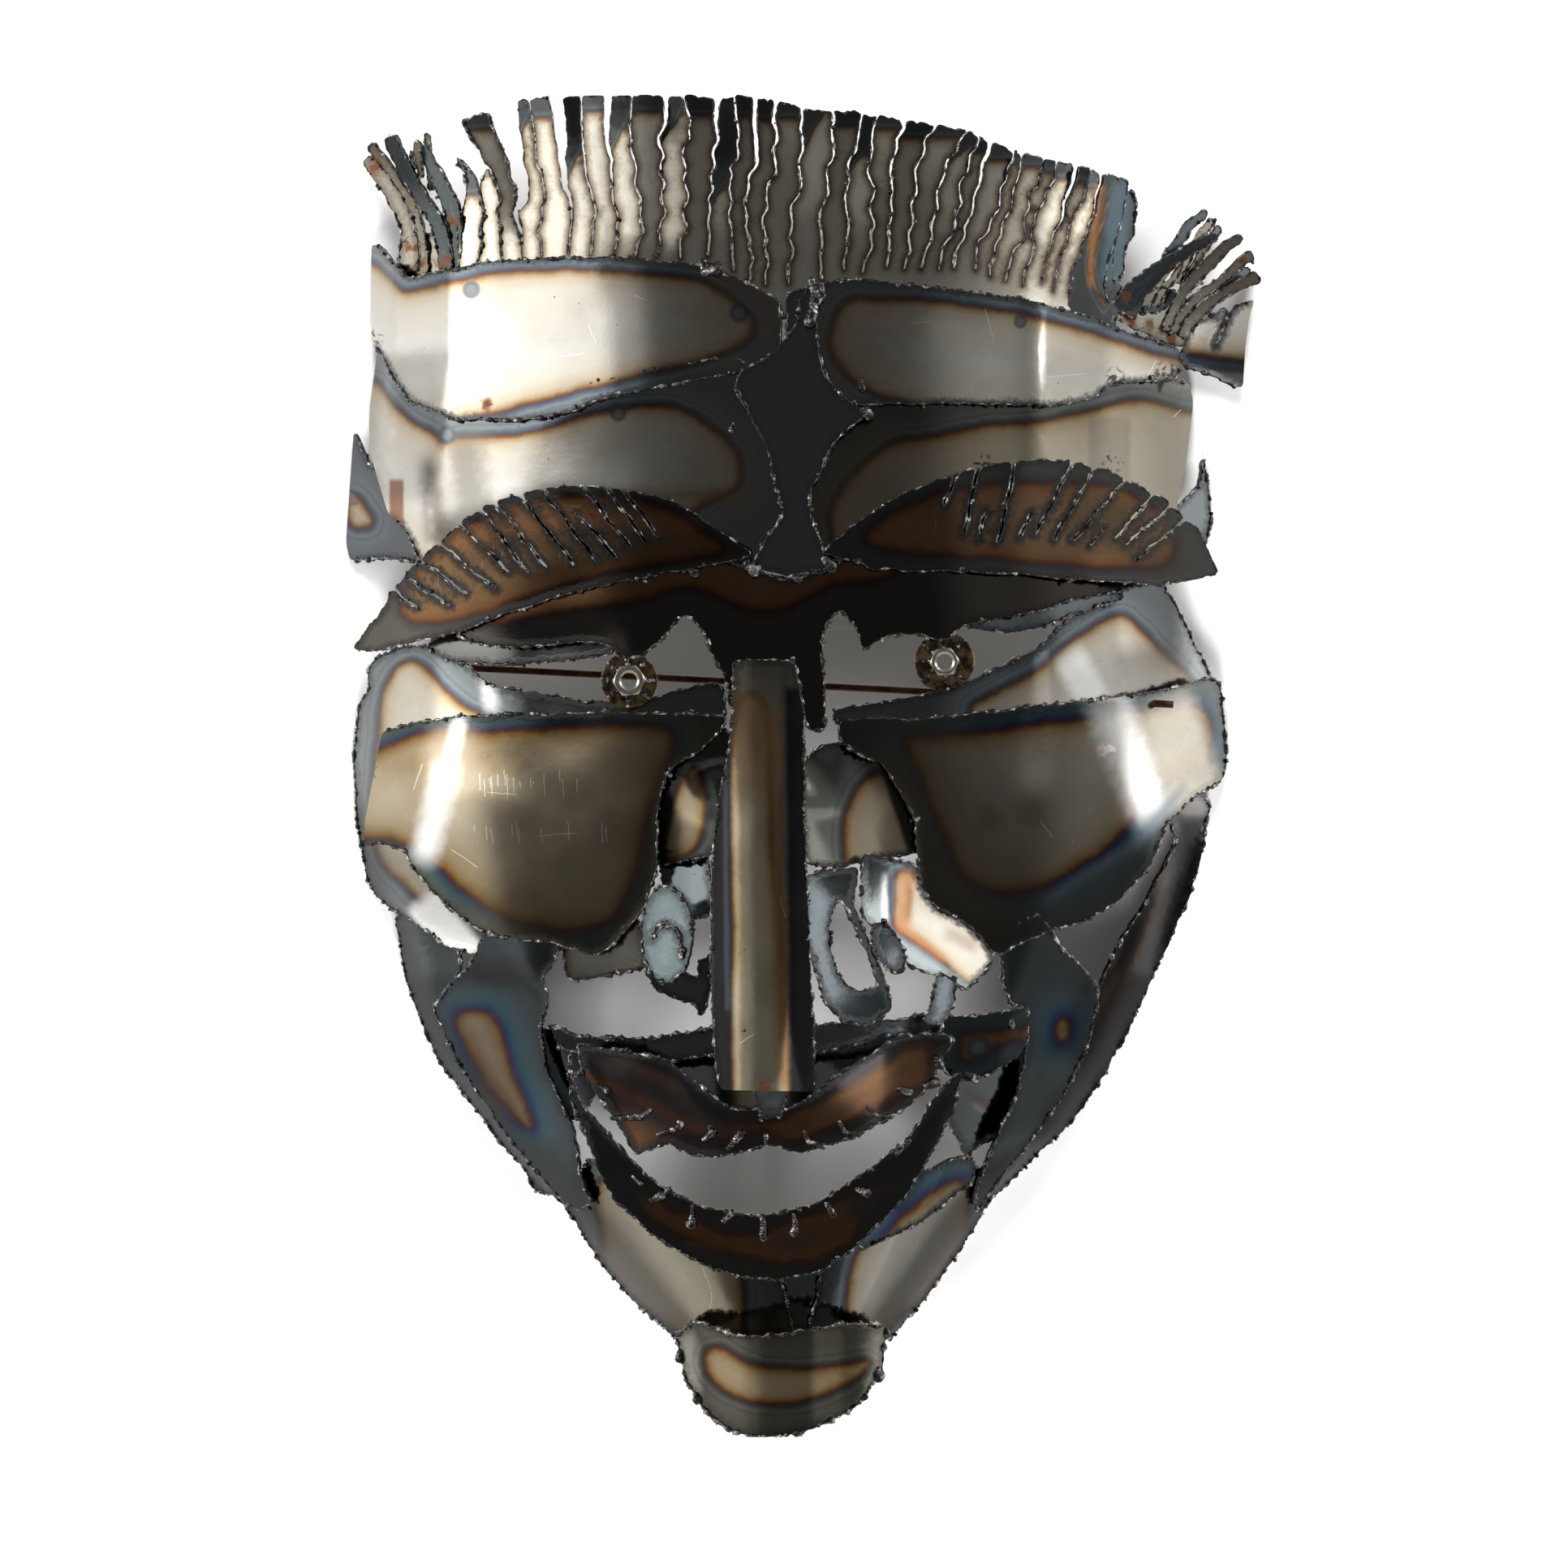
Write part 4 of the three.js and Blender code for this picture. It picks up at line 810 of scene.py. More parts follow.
def edgeBead(plate, chains):
    # The melted bead along the torch-cut rims of a sheet
    points, faces = grown(
        cutEdge, chains, Spacing=1.1 * mm, Radius=plate.get("bead", 0.42) * mm, Wander=0.9 * mm,
        Share_of_droplets=plate.get("droplets", 0.20), Droplet_size=1.15 * mm,
        Seed=plate["seed"], Material=melted)
    return {"points": keptInside(points), "faces": faces, "kinds": [2] * len(faces)}


def blob(place, size, seed):
    # A lump of weld metal, a little flattened
    points, faces = [], []
    flatten = 0.75
    rings, segments = 6, 10
    for ring in range(rings + 1):
        rise = math.pi * ring / rings
        for segment in range(segments):
            around = 2 * math.pi * segment / segments
            ray = Vector((math.sin(rise) * math.cos(around), math.sin(rise) * math.sin(around),
                          math.cos(rise)))
            reach = size * (1 + 0.35 * noise.noise(ray * 1.6 + Vector((seed * 3.1, 0, 0))))
            points.append((place[0] + ray.x * reach, place[1] + ray.y * reach,
                           place[2] + ray.z * reach * flatten))
    for ring in range(rings):
        for segment in range(segments):
            beside = (segment + 1) % segments
            faces.append((ring * segments + segment, (ring + 1) * segments + segment,
                          (ring + 1) * segments + beside, ring * segments + beside))
    return {"points": keptInside(np.array(points)), "faces": faces, "kinds": [2] * len(faces)}


def surfaceUnder(x, y):
    # The height of the highest plate under a place, or None beside them all
    hits = [tree.ray_cast(Vector((x, y, skyHeight)), down)[0] for tree in solidTrees.values()]
    return max((hit.z for hit in hits if hit is not None), default=None)


def lumps(plate, sheet, front):
    # Weld lumps and frozen drips on a plate, each from one place to another in pixels.
    # Where the plate doesn't reach, a lump lies on the plate that is there.
    parts = []
    overhang = 4.5
    for number, (x, y, endX, endY, size) in enumerate(plate.get("lumps", [])):
        count = max(1, round(math.hypot(endX - x, endY - y) * traceUnit / (size * 0.9)) + 1)
        for step in range(count):
            share = step / max(1, count - 1)
            place = toMillimetres([(x + (endX - x) * share, y + (endY - y) * share)])
            own = size * (0.9 + 0.5 * share) if count > 1 else size * 1.2
            height = front(place)[0]
            if np.linalg.norm(sheet["points"][:, :2] - place, axis=1).min() > overhang:
                height = surfaceUnder(*place[0])
            if height is not None:
                seed = plate["seed"] * 31 + number * 7 + step
                parts.append(blob((*place[0], height + own * 0.25), own, seed))
    return parts


def tacks(plate, chains):
    # Short welds where the rim of this plate lies on a plate below it
    parts = []
    nearest, farthest = 0.3, 6.5
    chance = random.Random(plate["seed"] * 17)
    for chain in chains:
        points = chain["points"]
        position = chance.randint(4, 14)
        while position < len(points) - 2:
            x, y, z = points[position]
            for name, tree in solidTrees.items():
                if name == plate["node"] or name.startswith("hair"):
                    continue
                hit = tree.ray_cast(Vector((x, y, z - 0.8)), down)[0]
                if hit is not None and nearest < z - hit.z < farthest:
                    for step in range(chance.randint(1, 3)):
                        size = chance.uniform(0.7, 1.5)
                        shift = chance.uniform(-1.6, 1.6), chance.uniform(-1.6, 1.6)
                        parts.append(blob((x + shift[0], y + shift[1], z - 0.5), size,
                                          plate["seed"] * 57 + position + step))
                    break
            position += chance.randint(14, 34)
    return parts


solidTrees = {}
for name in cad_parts:
    if not name.startswith(("eye", "hanging")):
        nodePoints, nodeFaces = frontOf(name)
        solidTrees[name] = BVHTree.FromPolygons(nodePoints.tolist(), nodeFaces.tolist())


seeds = itertools.count(1)


def makePlate(plate):
    # A sheet over its solid, with its bead and its welds
    plate["seed"] = next(seeds)
    points, faces = frontOf(plate["node"])
    front = Front(points, faces, plate.get("ease", 3.5), plate.get("folds", ()))
    spacing = plate.get("edge", 1.4)
    loops = [evenLoop(points[loop][:, :2], spacing, plate.get("rounding", 3))
             for loop in loopsOf(faces)]
    sheet = bentSheet(plate, loops, front)
    bead = edgeBead(plate, sheet["chains"])
    welds = tacks(plate, sheet["chains"]) + lumps(plate, sheet, front)
    piece = pieceFrom(plate, [sheet, bead, *welds], [plateMaterial(plate), melted])
    print("plate", plate["node"], len(piece.data.polygons), "faces")


# Each plate names its solid and its slot, and may change these. tone: a colour over its heat
# colours, partly its own colour and partly painted light and painted shade. band: how far the blue
# reaches from a cut. bare: outlines of what stayed bare. cold: edges that were sheared and not
# torch-cut. ease: how soft its bends are. folds: where one is crisp. lean: a slope beside that of its
# solid. marks, scratches, bands, lumps: lines and places; many bands are painted shade and painted
# highlights.

# Forehead: two rows of plates and the dark star between them
foreheadLowerLeft = {
    "node": "forehead_lower_left", "slot": "bare_steel", "lean": (0, 0.062), "ease": 12,
    "folds": [505, 570],
    # the dark and smoke bands are painted shade beside the fold and along the lower edge; the brown band is
    # heat tint and the red one rust
    "bands": [(528, 570, 548, 690, 14, 26, 0.80, "paintedShade"), (540, 655, 640, 625, 14, 34, 0.80, "paintedShade"),
              (570, 540, 582, 640, 26, 44, 0.78, "smoke"), (660, 608, 900, 612, 6, 22, 0.55, "brown"),
              (486, 590, 486, 645, 9, 5, 0.85, "red")],
    "bare": [[
        (400, 450), (455, 465), (470, 485), (490, 507), (510, 525), (530, 531), (545, 548), (560, 538),
        (600, 540), (630, 538), (660, 533), (700, 523), (730, 513), (780, 503), (820, 503), (845, 510),
        (870, 525), (895, 545), (908, 565), (912, 590), (900, 607), (870, 615), (840, 640), (780, 660),
        (700, 680), (600, 700), (520, 700), (490, 665), (455, 640), (400, 620),
    ]],
    "cold": [[(460, 425), (450, 500), (450, 550), (475, 630)]],
    "marks": [("scorch", 890, 585, 120), ("disc", 762, 510, 11), ("disc", 550, 535, 13)],
}
makePlate(foreheadLowerLeft)

foreheadLowerRight = {
    "node": "forehead_lower_right", "slot": "bare_steel", "ease": 12, "folds": [1288],
    # the smoke band is painted shade, a dark reflection painted into the colour
    "tone": (0.64, 0.60, 0.52), "bands": [(1368, 515, 1368, 600, 26, 8, 0.35, "smoke")],
    "bare": [[
        (1022, 640), (1028, 620), (1050, 588), (1080, 562), (1100, 547), (1150, 543), (1180, 535),
        (1210, 527), (1260, 523), (1300, 517), (1340, 508), (1370, 500), (1400, 493), (1420, 493),
        (1450, 500), (1480, 506), (1530, 510), (1510, 700), (1300, 720), (1100, 720), (1030, 690),
    ]],
    "cold": [[(1471, 466), (1476, 490), (1466, 570), (1440, 680)]],
    "marks": [("scorch", 1075, 620, 120), ("soot", 1372, 570, 16), ("soot", 1210, 570, 14)],
    "scratches": [(1450, 510, 1460, 500)],
}
makePlate(foreheadLowerRight)

foreheadUpperLeft = {
    "node": "forehead_upper_left", "slot": "bare_steel", "ease": 12, "folds": [505, 570],
    "bare": [[
        (400, 300), (452, 318), (475, 340), (490, 355), (500, 358), (555, 347), (600, 341), (650, 336),
        (700, 335), (780, 339), (850, 345), (880, 358), (905, 378), (928, 400), (922, 420), (880, 440),
        (830, 453), (780, 462), (750, 472), (700, 484), (650, 497), (600, 508), (560, 515), (520, 530),
        (470, 530), (400, 440),
    ]],
    "cold": [[(452, 293), (452, 420)]],
    "marks": [("scorch", 915, 400, 110), ("disc", 911, 387, 13), ("disc", 580, 356, 12),
              ("soot", 458, 412, 12), ("rust", 600, 497, 10)],
    "scratches": [(725, 400, 735, 425), (780, 365, 800, 372), (690, 440, 720, 436)],
}
makePlate(foreheadUpperLeft)

foreheadUpperRight = {
    "node": "forehead_upper_right", "slot": "bare_steel", "ease": 12, "folds": [1288],
    "bare": [[
        (1020, 430), (1032, 390), (1045, 374), (1060, 371), (1150, 372), (1200, 380), (1250, 387),
        (1290, 398), (1340, 412), (1380, 422), (1400, 428), (1430, 438), (1480, 446), (1480, 500),
        (1340, 520), (1180, 520), (1110, 495), (1060, 478),
    ]],
    "cold": [[(1458, 425), (1460, 445)]],
    "marks": [("scorch", 1050, 430, 110), ("disc", 1257, 397, 9), ("soot", 1375, 465, 15),
              ("soot", 1440, 457, 18)],
    "scratches": [(1290, 465, 1340, 460), (1415, 462, 1428, 440), (1213, 380, 1225, 425),
                  (1120, 400, 1150, 396)],
}
makePlate(foreheadUpperRight)

foreheadCentre = {
    "node": "forehead_centre", "slot": "black_steel", "band": 60, "bead": 0.5, "droplets": 0.25,
    "lumps": [(874, 330, 882, 334, 2.4), (866, 324, 870, 336, 1.8), (1000, 348, 1006, 372, 1.9),
              (1004, 376, 998, 398, 2.1), (1012, 352, 1012, 366, 1.4), (921, 696, 930, 704, 2.3),
              (1016, 690, 1024, 700, 2.3), (1066, 506, 1070, 514, 1.8), (888, 470, 886, 480, 1.3),
              (905, 520, 902, 532, 1.2), (1060, 470, 1062, 480, 1.3)],
}
makePlate(foreheadCentre)

templeLeft = {
    "node": "temple_left", "slot": "bare_steel", "bead": 0.6, "droplets": 0.3, "tone": (0.66, 0.64, 0.66),
    "bare": [[(424, 600), (440, 615), (458, 645), (424, 648)]],
    "cold": [[(430, 526), (420, 665), (425, 688)]],
}
makePlate(templeLeft)

templeRight = {"node": "temple_right", "slot": "brown_steel", "band": 30}
makePlate(templeRight)

# Cheeks and jaw
jawLeft = {
    "node": "jaw_left", "slot": "bare_steel", "band": 60, "spacing": 2.2, "ease": 3,
    "tone": (0.75, 0.80, 0.80),
}
makePlate(jawLeft)

jawRight = {
    "node": "jaw_right", "slot": "brown_steel", "look": "brown", "band": 9, "spacing": 2.2, "ease": 3,
    "drift": 8.0, "tone": (0.30, 0.27, 0.28),
    "bands": [(1440, 1080, 1392, 1210, 5, 14, 0.6, "brown"), (1380, 1200, 1330, 1290, 5, 12, 0.6, "brown")],
}
makePlate(jawRight)

cheekBackLeft = {
    "node": "cheek_back_left", "slot": "bare_steel", "ease": 7, "tone": (0.85, 0.84, 0.80),
    # the bright bands are painted highlights and the dark band is painted shade
    "bands": [(520, 1112, 575, 1180, 24, 14, 0.95, "paintedHighlight"), (600, 842, 606, 868, 7, 20, 0.6, "paintedHighlight"),
              (640, 890, 700, 930, 20, 10, 0.6, "paintedShade")],
    "bare": [[
        (465, 900), (468, 860), (480, 832), (492, 820), (510, 817), (530, 833), (550, 855), (578, 877),
        (640, 900), (640, 1060), (600, 1100), (560, 1125), (540, 1122), (510, 1105), (490, 1085),
        (475, 1070), (460, 1045), (458, 1000), (460, 950),
    ]],
}
makePlate(cheekBackLeft)

cheekBackRight = {
    "node": "cheek_back_right", "slot": "bare_steel", "ease": 7,
    # the bright band is a painted highlight and the smoke band is painted shade
    "bands": [(1318, 812, 1350, 865, 20, 20, 0.95, "paintedHighlight"),
              (1420, 800, 1440, 900, 46, 24, 0.62, "smoke")],
    "bare": [[
        (1195, 875), (1210, 865), (1240, 850), (1290, 825), (1310, 800), (1340, 780), (1370, 763),
        (1392, 760), (1420, 788), (1450, 820), (1475, 842), (1490, 870), (1400, 910), (1200, 910),
    ]],
}
makePlate(cheekBackRight)

cheekLowerLeft = {
    "node": "cheek_lower_left", "slot": "blue_steel", "look": "deep", "drift": 9.0, "ease": 5,
    # the dark band is painted shade under the cheek plate; the brown one is tint
    "bands": [(590, 1262, 620, 1370, 20, 26, 0.55, "brown"), (560, 1200, 700, 1190, 16, 24, 0.4, "paintedShade")],
    "bare": [[
        (558, 1250), (600, 1245), (612, 1258), (620, 1290), (625, 1320), (640, 1360), (658, 1395),
        (640, 1378), (612, 1347), (590, 1320), (570, 1282),
    ]],
}
makePlate(cheekLowerLeft)

cheekLowerRight = {
    "node": "cheek_lower_right", "slot": "blue_steel", "look": "deep", "drift": 9.0, "ease": 5,
    "bare": [[(1304, 1256), (1318, 1258), (1320, 1275), (1308, 1288), (1300, 1275)]],
}
makePlate(cheekLowerRight)

cheekLeft = {
    "node": "cheek_left", "slot": "bare_steel", "ease": 12, "look": "deep", "tone": (0.70, 0.62, 0.48),
    # the bright bands are painted highlights and the cream band is a painted sheen around them
    "bands": [(566, 890, 548, 960, 8, 16, 0.95, "paintedHighlight"), (550, 950, 522, 1052, 15, 26, 0.95, "paintedHighlight"),
              (560, 905, 536, 1010, 26, 40, 0.35, "cream")],
    "stain": 0.6, "warm": (0.330, 0.240, 0.140),
    "scratches": [(600, 976, 640, 979), (555, 1045, 590, 1070), (660, 1030, 712, 1026),
                  (520, 940, 508, 975),
                  *[(x, 946 + x * 7 % 17, x + 1, 964 + x * 5 % 23) for x in (
                      591, 597, 604, 606, 613, 622, 625, 633, 641, 655, 658, 671, 690, 694, 711)],
                  *[(x, 1008 + x * 7 % 15, x + 1, 1024 + x * 3 % 17) for x in (
                      584, 599, 606, 631, 637, 640, 668, 701, 742, 747)]],
    "marks": [("scorch", 790, 970, 130), ("scorch", 740, 1090, 110), ("scorch", 640, 1130, 90)],
    "bare": [[
        (420, 945), (470, 925), (500, 912), (530, 903), (550, 902), (600, 905), (640, 902), (700, 897),
        (760, 895), (810, 896), (830, 905), (826, 930), (815, 950), (797, 1000), (787, 1050),
        (779, 1080), (771, 1105), (760, 1125), (745, 1136), (720, 1142), (690, 1142), (650, 1137),
        (620, 1126), (590, 1109), (570, 1092), (548, 1070), (520, 1048), (500, 1040), (480, 1034),
        (460, 1034), (420, 1030),
    ]],
    "cold": [[(468, 901), (446, 1012), (445, 1045)]],
}
makePlate(cheekLeft)

cheekRight = {
    "node": "cheek_right", "slot": "bare_steel", "lean": (0, 0.03), "ease": 14, "look": "deep",
    "tone": (0.60, 0.58, 0.53),
    # the bright and cream bands are painted highlights; the blue ones are heat tint
    "bands": [(1366, 870, 1416, 990, 24, 40, 0.97, "paintedHighlight"), (1440, 870, 1478, 980, 34, 30, 0.80, "cream"),
              (1290, 1108, 1400, 1040, 6, 16, 0.6, "blue"), (1400, 1040, 1460, 972, 6, 16, 0.6, "blue")],
    "marks": [("scorch", 1140, 950, 110), ("scorch", 1200, 1070, 130), ("rust", 1358, 925, 9),
              ("rust", 1368, 922, 6), ("scorch", 1270, 1000, 30), ("scorch", 1220, 1010, 24)],
    "scratches": [(1280, 1010, 1297, 1033)],
    "bare": [[
        (1115, 912), (1150, 908), (1200, 906), (1250, 897), (1300, 890), (1350, 886), (1400, 878),
        (1450, 876), (1475, 872), (1492, 880), (1497, 910), (1490, 932), (1465, 948), (1430, 970),
        (1412, 985), (1400, 1002), (1380, 1027), (1350, 1055), (1320, 1075), (1280, 1092),
        (1230, 1098), (1200, 1088), (1182, 1070), (1166, 1032), (1150, 998), (1136, 960), (1120, 925),
    ]],
}
makePlate(cheekRight)

# Brows, the ridge under them and the lids
browRidge = {
    "node": "brow_ridge", "slot": "brown_steel", "look": "brown", "bead": 0.5, "droplets": 0.2,
    "tone": (0.50, 0.43, 0.38), "ease": 10,
    "lumps": [(850, 700, 856, 706, 2.0), (976, 706, 982, 712, 2.0)],
    "bare": [[
        (600, 770), (640, 760), (700, 752), (760, 745), (800, 735), (830, 723), (860, 720), (890, 735),
        (920, 750), (960, 752), (1000, 732), (1030, 715), (1100, 712), (1100, 690), (860, 660),
        (700, 700), (600, 740),
    ]],
}
makePlate(browRidge)

browLeft = {
    "node": "brow_left", "slot": "brown_steel", "lean": (0, 0.06), "look": "brown",
    "tone": (0.42, 0.38, 0.32), "wave": (1.0, 7.0), "ease": 9, "rounding": 2, "bead": 0.24,
    "droplets": 0.10,
    "bands": [(560, 665, 700, 640, 10, 20, 0.35, "red"), (720, 640, 850, 650, 10, 20, 0.45, "red")],
    "bare": [[
        (490, 765), (505, 715), (540, 680), (580, 645), (640, 625), (700, 615), (760, 615), (820, 628),
        (870, 660), (895, 680), (850, 686), (790, 696), (740, 706), (680, 724), (620, 744), (560, 764),
    ]],
}
makePlate(browLeft)

browRight = {
    "node": "brow_right", "slot": "brown_steel", "look": "brown", "tone": (0.62, 0.58, 0.54),
    "wave": (1.0, 7.0), "rounding": 2, "bead": 0.26, "droplets": 0.10,
    # the dark band is painted shade
    "bands": [(1335, 630, 1450, 685, 34, 40, 0.55, "paintedShade")],
    "bare": [[
        (1060, 672), (1085, 645), (1140, 618), (1180, 605), (1240, 600), (1320, 600), (1380, 603),
        (1440, 640), (1447, 670), (1440, 695), (1400, 700), (1300, 694), (1200, 685), (1130, 680),
    ]],
}
makePlate(browRight)

lidLeft = {"node": "lid_left", "slot": "blue_steel", "band": 14, "tone": (0.72, 0.64, 0.58)}
makePlate(lidLeft)

lidRight = {"node": "lid_right", "slot": "blue_steel", "band": 14}
makePlate(lidRight)

# Nose and nostrils
noseBar = {
    "node": "nose_bar", "slot": "bare_steel", "tone": (0.62, 0.59, 0.51), "bead": 0.3,
    # the black bands along both sides are painted shade; the brown and blue ones are tint
    "bands": [(955, 880, 966, 1330, 9, 16, 0.75, "brown"), (925, 860, 922, 980, 22, 40, 0.6, "brown"),
              (888, 850, 892, 1350, 13, 10, 0.97, "black"), (984, 850, 990, 1350, 17, 10, 0.97, "black"),
              (893, 880, 897, 1240, 3, 6, 0.18, "blue")],
    "marks": [("scorch", 920, 900, 90), ("soot", 935, 1143, 5), ("soot", 917, 1267, 4),
              ("rust", 940, 1338, 12)],
    "scratches": [(960, 1100, 968, 1130), (912, 1283, 930, 1270)],
    "bare": [[
        (915, 860), (905, 900), (898, 950), (895, 1000), (900, 1050), (903, 1100), (906, 1150),
        (905, 1180), (896, 1215), (892, 1240), (900, 1270), (903, 1400), (975, 1400), (970, 1300),
        (965, 1250), (962, 1200), (955, 1100), (950, 1050), (948, 1000), (947, 950), (945, 900),
        (935, 860),
    ]],
    "cold": [[(888, 1339), (1003, 1341)]],
}
makePlate(noseBar)

noseSideLeft = {
    "node": "nose_side_left", "lean": (0, 0.05), "slot": "blue_steel", "tone": (0.36, 0.33, 0.28),
    # the black band is painted shadow
    "bands": [(830, 930, 806, 1040, 16, 8, 0.9, "black")],
    "bare": [[(812, 1058), (820, 1010), (845, 955), (862, 948), (868, 985), (866, 1020), (852, 1052)]],
}
makePlate(noseSideLeft)

noseSideRight = {
    "node": "nose_side_right", "slot": "blue_steel", "tone": (0.66, 0.60, 0.52),
    # the black band is the painted shadow of the cheek plate
    "bands": [(1098, 930, 1142, 1060, 19, 8, 0.93, "black")],
    "bare": [[
        (1046, 1078), (1040, 1040), (1042, 1005), (1052, 980), (1068, 960), (1088, 950), (1120, 990),
        (1138, 1078),
    ]],
}
makePlate(noseSideRight)

noseBrace = {"node": "nose_brace", "slot": "black_steel", "band": 60}
makePlate(noseBrace)

nostrilLeftUpper = {
    "node": "nostril_left_upper", "slot": "bare_steel", "band": 60, "tone": (0.9, 0.95, 0.95),
}
makePlate(nostrilLeftUpper)

nostrilLeft = {
    "node": "nostril_left", "slot": "bare_steel", "band": 14, "bead": 0.6, "tone": (0.80, 0.88, 0.86),
}
makePlate(nostrilLeft)

nostrilLeftLobe = {"node": "nostril_left_lobe", "slot": "brown_steel", "band": 30}
makePlate(nostrilLeftLobe)

flangeLeft = {
    "node": "flange_left", "slot": "bare_steel", "band": 1, "bead": 0.6, "droplets": 0.3, "lean": (0.12, 0),
    "tone": (0.8, 0.9, 1.0), "lumps": [(480, 1136, 484, 1146, 1.6)],
}
makePlate(flangeLeft)

nostrilRight = {"node": "nostril_right", "slot": "bare_steel", "band": 14}
makePlate(nostrilRight)

nostrilRightWing = {
    "node": "nostril_right_wing", "slot": "bare_steel", "lean": (0.02, 0),
    # the bright band is a painted highlight
    "bands": [(1068, 1075, 1080, 1160, 16, 14, 0.9, "frost"),
              (1095, 1160, 1190, 1225, 12, 14, 0.85, "frost"),
              (1119, 1080, 1113, 1138, 8, 16, 0.85, "orange"),
              (1108, 1140, 1160, 1178, 5, 14, 0.7, "orange"),
              (1121, 1095, 1118, 1130, 3, 8, 0.5, "brown"), (1165, 1150, 1200, 1165, 9, 12, 0.45, "brown"),
              (1088, 1078, 1090, 1130, 3, 8, 0.80, "paintedHighlight"), (1100, 1085, 1099, 1130, 2, 5, 0.6, "blue"),
              (1150, 1148, 1205, 1200, 8, 20, 0.5, "cream")],
    "bare": [[
        (1103, 1075), (1102, 1110), (1100, 1135), (1108, 1147), (1135, 1162), (1165, 1188),
        (1195, 1215), (1240, 1200), (1220, 1140), (1150, 1110), (1132, 1075),
    ]],
}
makePlate(nostrilRightWing)

nostrilRightOval = {"node": "nostril_right_oval", "slot": "black_steel", "band": 60}
makePlate(nostrilRightOval)

nostrilRightTab = {"node": "nostril_right_tab", "slot": "black_steel", "band": 60}
makePlate(nostrilRightTab)

# Mouth
mouthBack = {"node": "mouth_back", "slot": "black_steel", "band": 60}
makePlate(mouthBack)

upperLipBack = {"node": "upper_lip_back", "slot": "black_steel", "band": 60, "bead": 0.7}
makePlate(upperLipBack)

mouthCornerLeft = {"node": "mouth_corner_left", "slot": "black_steel", "band": 60}
makePlate(mouthCornerLeft)

mouthCornerRightLower = {
    "node": "mouth_corner_right_lower", "slot": "bare_steel", "band": 60, "tone": (1.5, 1.5, 1.45),
    "ease": 14,
    "bands": [(1190, 1342, 1232, 1372, 4, 12, 0.5, "brown"), (1200, 1362, 1240, 1390, 3, 8, 0.4, "cream")],
}
makePlate(mouthCornerRightLower)

mouthCornerRightUpper = {
    "node": "mouth_corner_right_upper", "slot": "brown_steel", "band": 9, "look": "brown",
    "tone": (0.9, 1.0, 1.0), "marks": [("disc", 1205, 1290, 17)],
    "lumps": [(1190, 1322, 1202, 1328, 1.6), (1246, 1256, 1246, 1264, 1.2)],
    "cold": [[(1265, 1242), (1267, 1269), (1259, 1299)]],
}
makePlate(mouthCornerRightUpper)

lipUpper = {
    "node": "lip_upper", "slot": "brown_steel", "look": "smoky", "band": 6, "drift": 22.0, "droplets": 0.25,
    "tone": (0.72, 0.66, 0.62),
    "bands": [(690, 1280, 900, 1375, 44, 26, 0.85, "charcoal"),
              (960, 1395, 1130, 1290, 9, 24, 0.5, "brown"),
              (720, 1322, 870, 1392, 5, 14, 0.7, "red"), (790, 1318, 830, 1335, 5, 12, 0.45, "red"),
              (1000, 1360, 1150, 1262, 6, 10, 0.6, "charcoal")],
    "lumps": [
        (705, 1318, 716, 1322, 1.6), (742, 1338, 750, 1342, 1.3), (755, 1376, 790, 1374, 1.1),
        (790, 1374, 802, 1366, 0.9), (812, 1396, 838, 1386, 1.2), (842, 1384, 838, 1380, 1.0),
        (868, 1402, 880, 1392, 1.3), (876, 1392, 876, 1386, 0.9), (898, 1412, 914, 1394, 1.4),
        (944, 1406, 944, 1398, 0.9), (990, 1392, 996, 1404, 0.9), (996, 1404, 1014, 1410, 1.1),
        (1034, 1380, 1040, 1392, 0.9), (1040, 1392, 1056, 1396, 1.1), (1068, 1362, 1078, 1372, 0.9),
        (1078, 1372, 1096, 1374, 1.0), (1108, 1340, 1118, 1344, 1.6), (1140, 1336, 1152, 1332, 1.8),
        (1152, 1302, 1156, 1310, 1.5),
    ],
}
makePlate(lipUpper)

lipLower = {
    "node": "lip_lower", "slot": "brown_steel", "look": "smoky", "band": 6, "drift": 22.0, "droplets": 0.25,
    "tone": (0.70, 0.66, 0.62),
    "bands": [(700, 1330, 790, 1480, 26, 18, 0.75, "charcoal"),
              (850, 1530, 1010, 1545, 4, 10, 0.5, "brown"),
              (1060, 1500, 1160, 1350, 22, 18, 0.8, "charcoal"), (800, 1490, 880, 1530, 4, 10, 0.5, "red")],
    "lumps": [
        (781, 1448, 790, 1456, 0.9), (804, 1476, 816, 1470, 1.6), (816, 1470, 826, 1463, 1.0),
        (854, 1482, 853, 1498, 0.9), (853, 1500, 852, 1506, 1.9), (892, 1502, 902, 1492, 1.3),
        (940, 1496, 941, 1522, 1.5), (978, 1494, 980, 1506, 1.1), (980, 1508, 979, 1516, 1.7),
        (1018, 1480, 1026, 1494, 1.3), (1056, 1462, 1068, 1468, 1.5), (1104, 1420, 1108, 1412, 1.5),
        (1112, 1412, 1118, 1404, 1.3),
    ],
}
makePlate(lipLower)

# Chin
chinBack = {"node": "chin_back", "slot": "black_steel", "band": 60}
makePlate(chinBack)

chinLeft = {
    "node": "chin_left", "slot": "bare_steel", "tone": (0.80, 0.76, 0.66),
    "scratches": [(865, 1560, 877, 1590), (877, 1590, 875, 1615)],
    "bare": [[
        (733, 1470), (742, 1510), (744, 1540), (740, 1555), (757, 1580), (783, 1605), (820, 1633),
        (850, 1650), (912, 1690), (914, 1640), (914, 1560), (860, 1500), (760, 1430),
    ]],
}
makePlate(chinLeft)

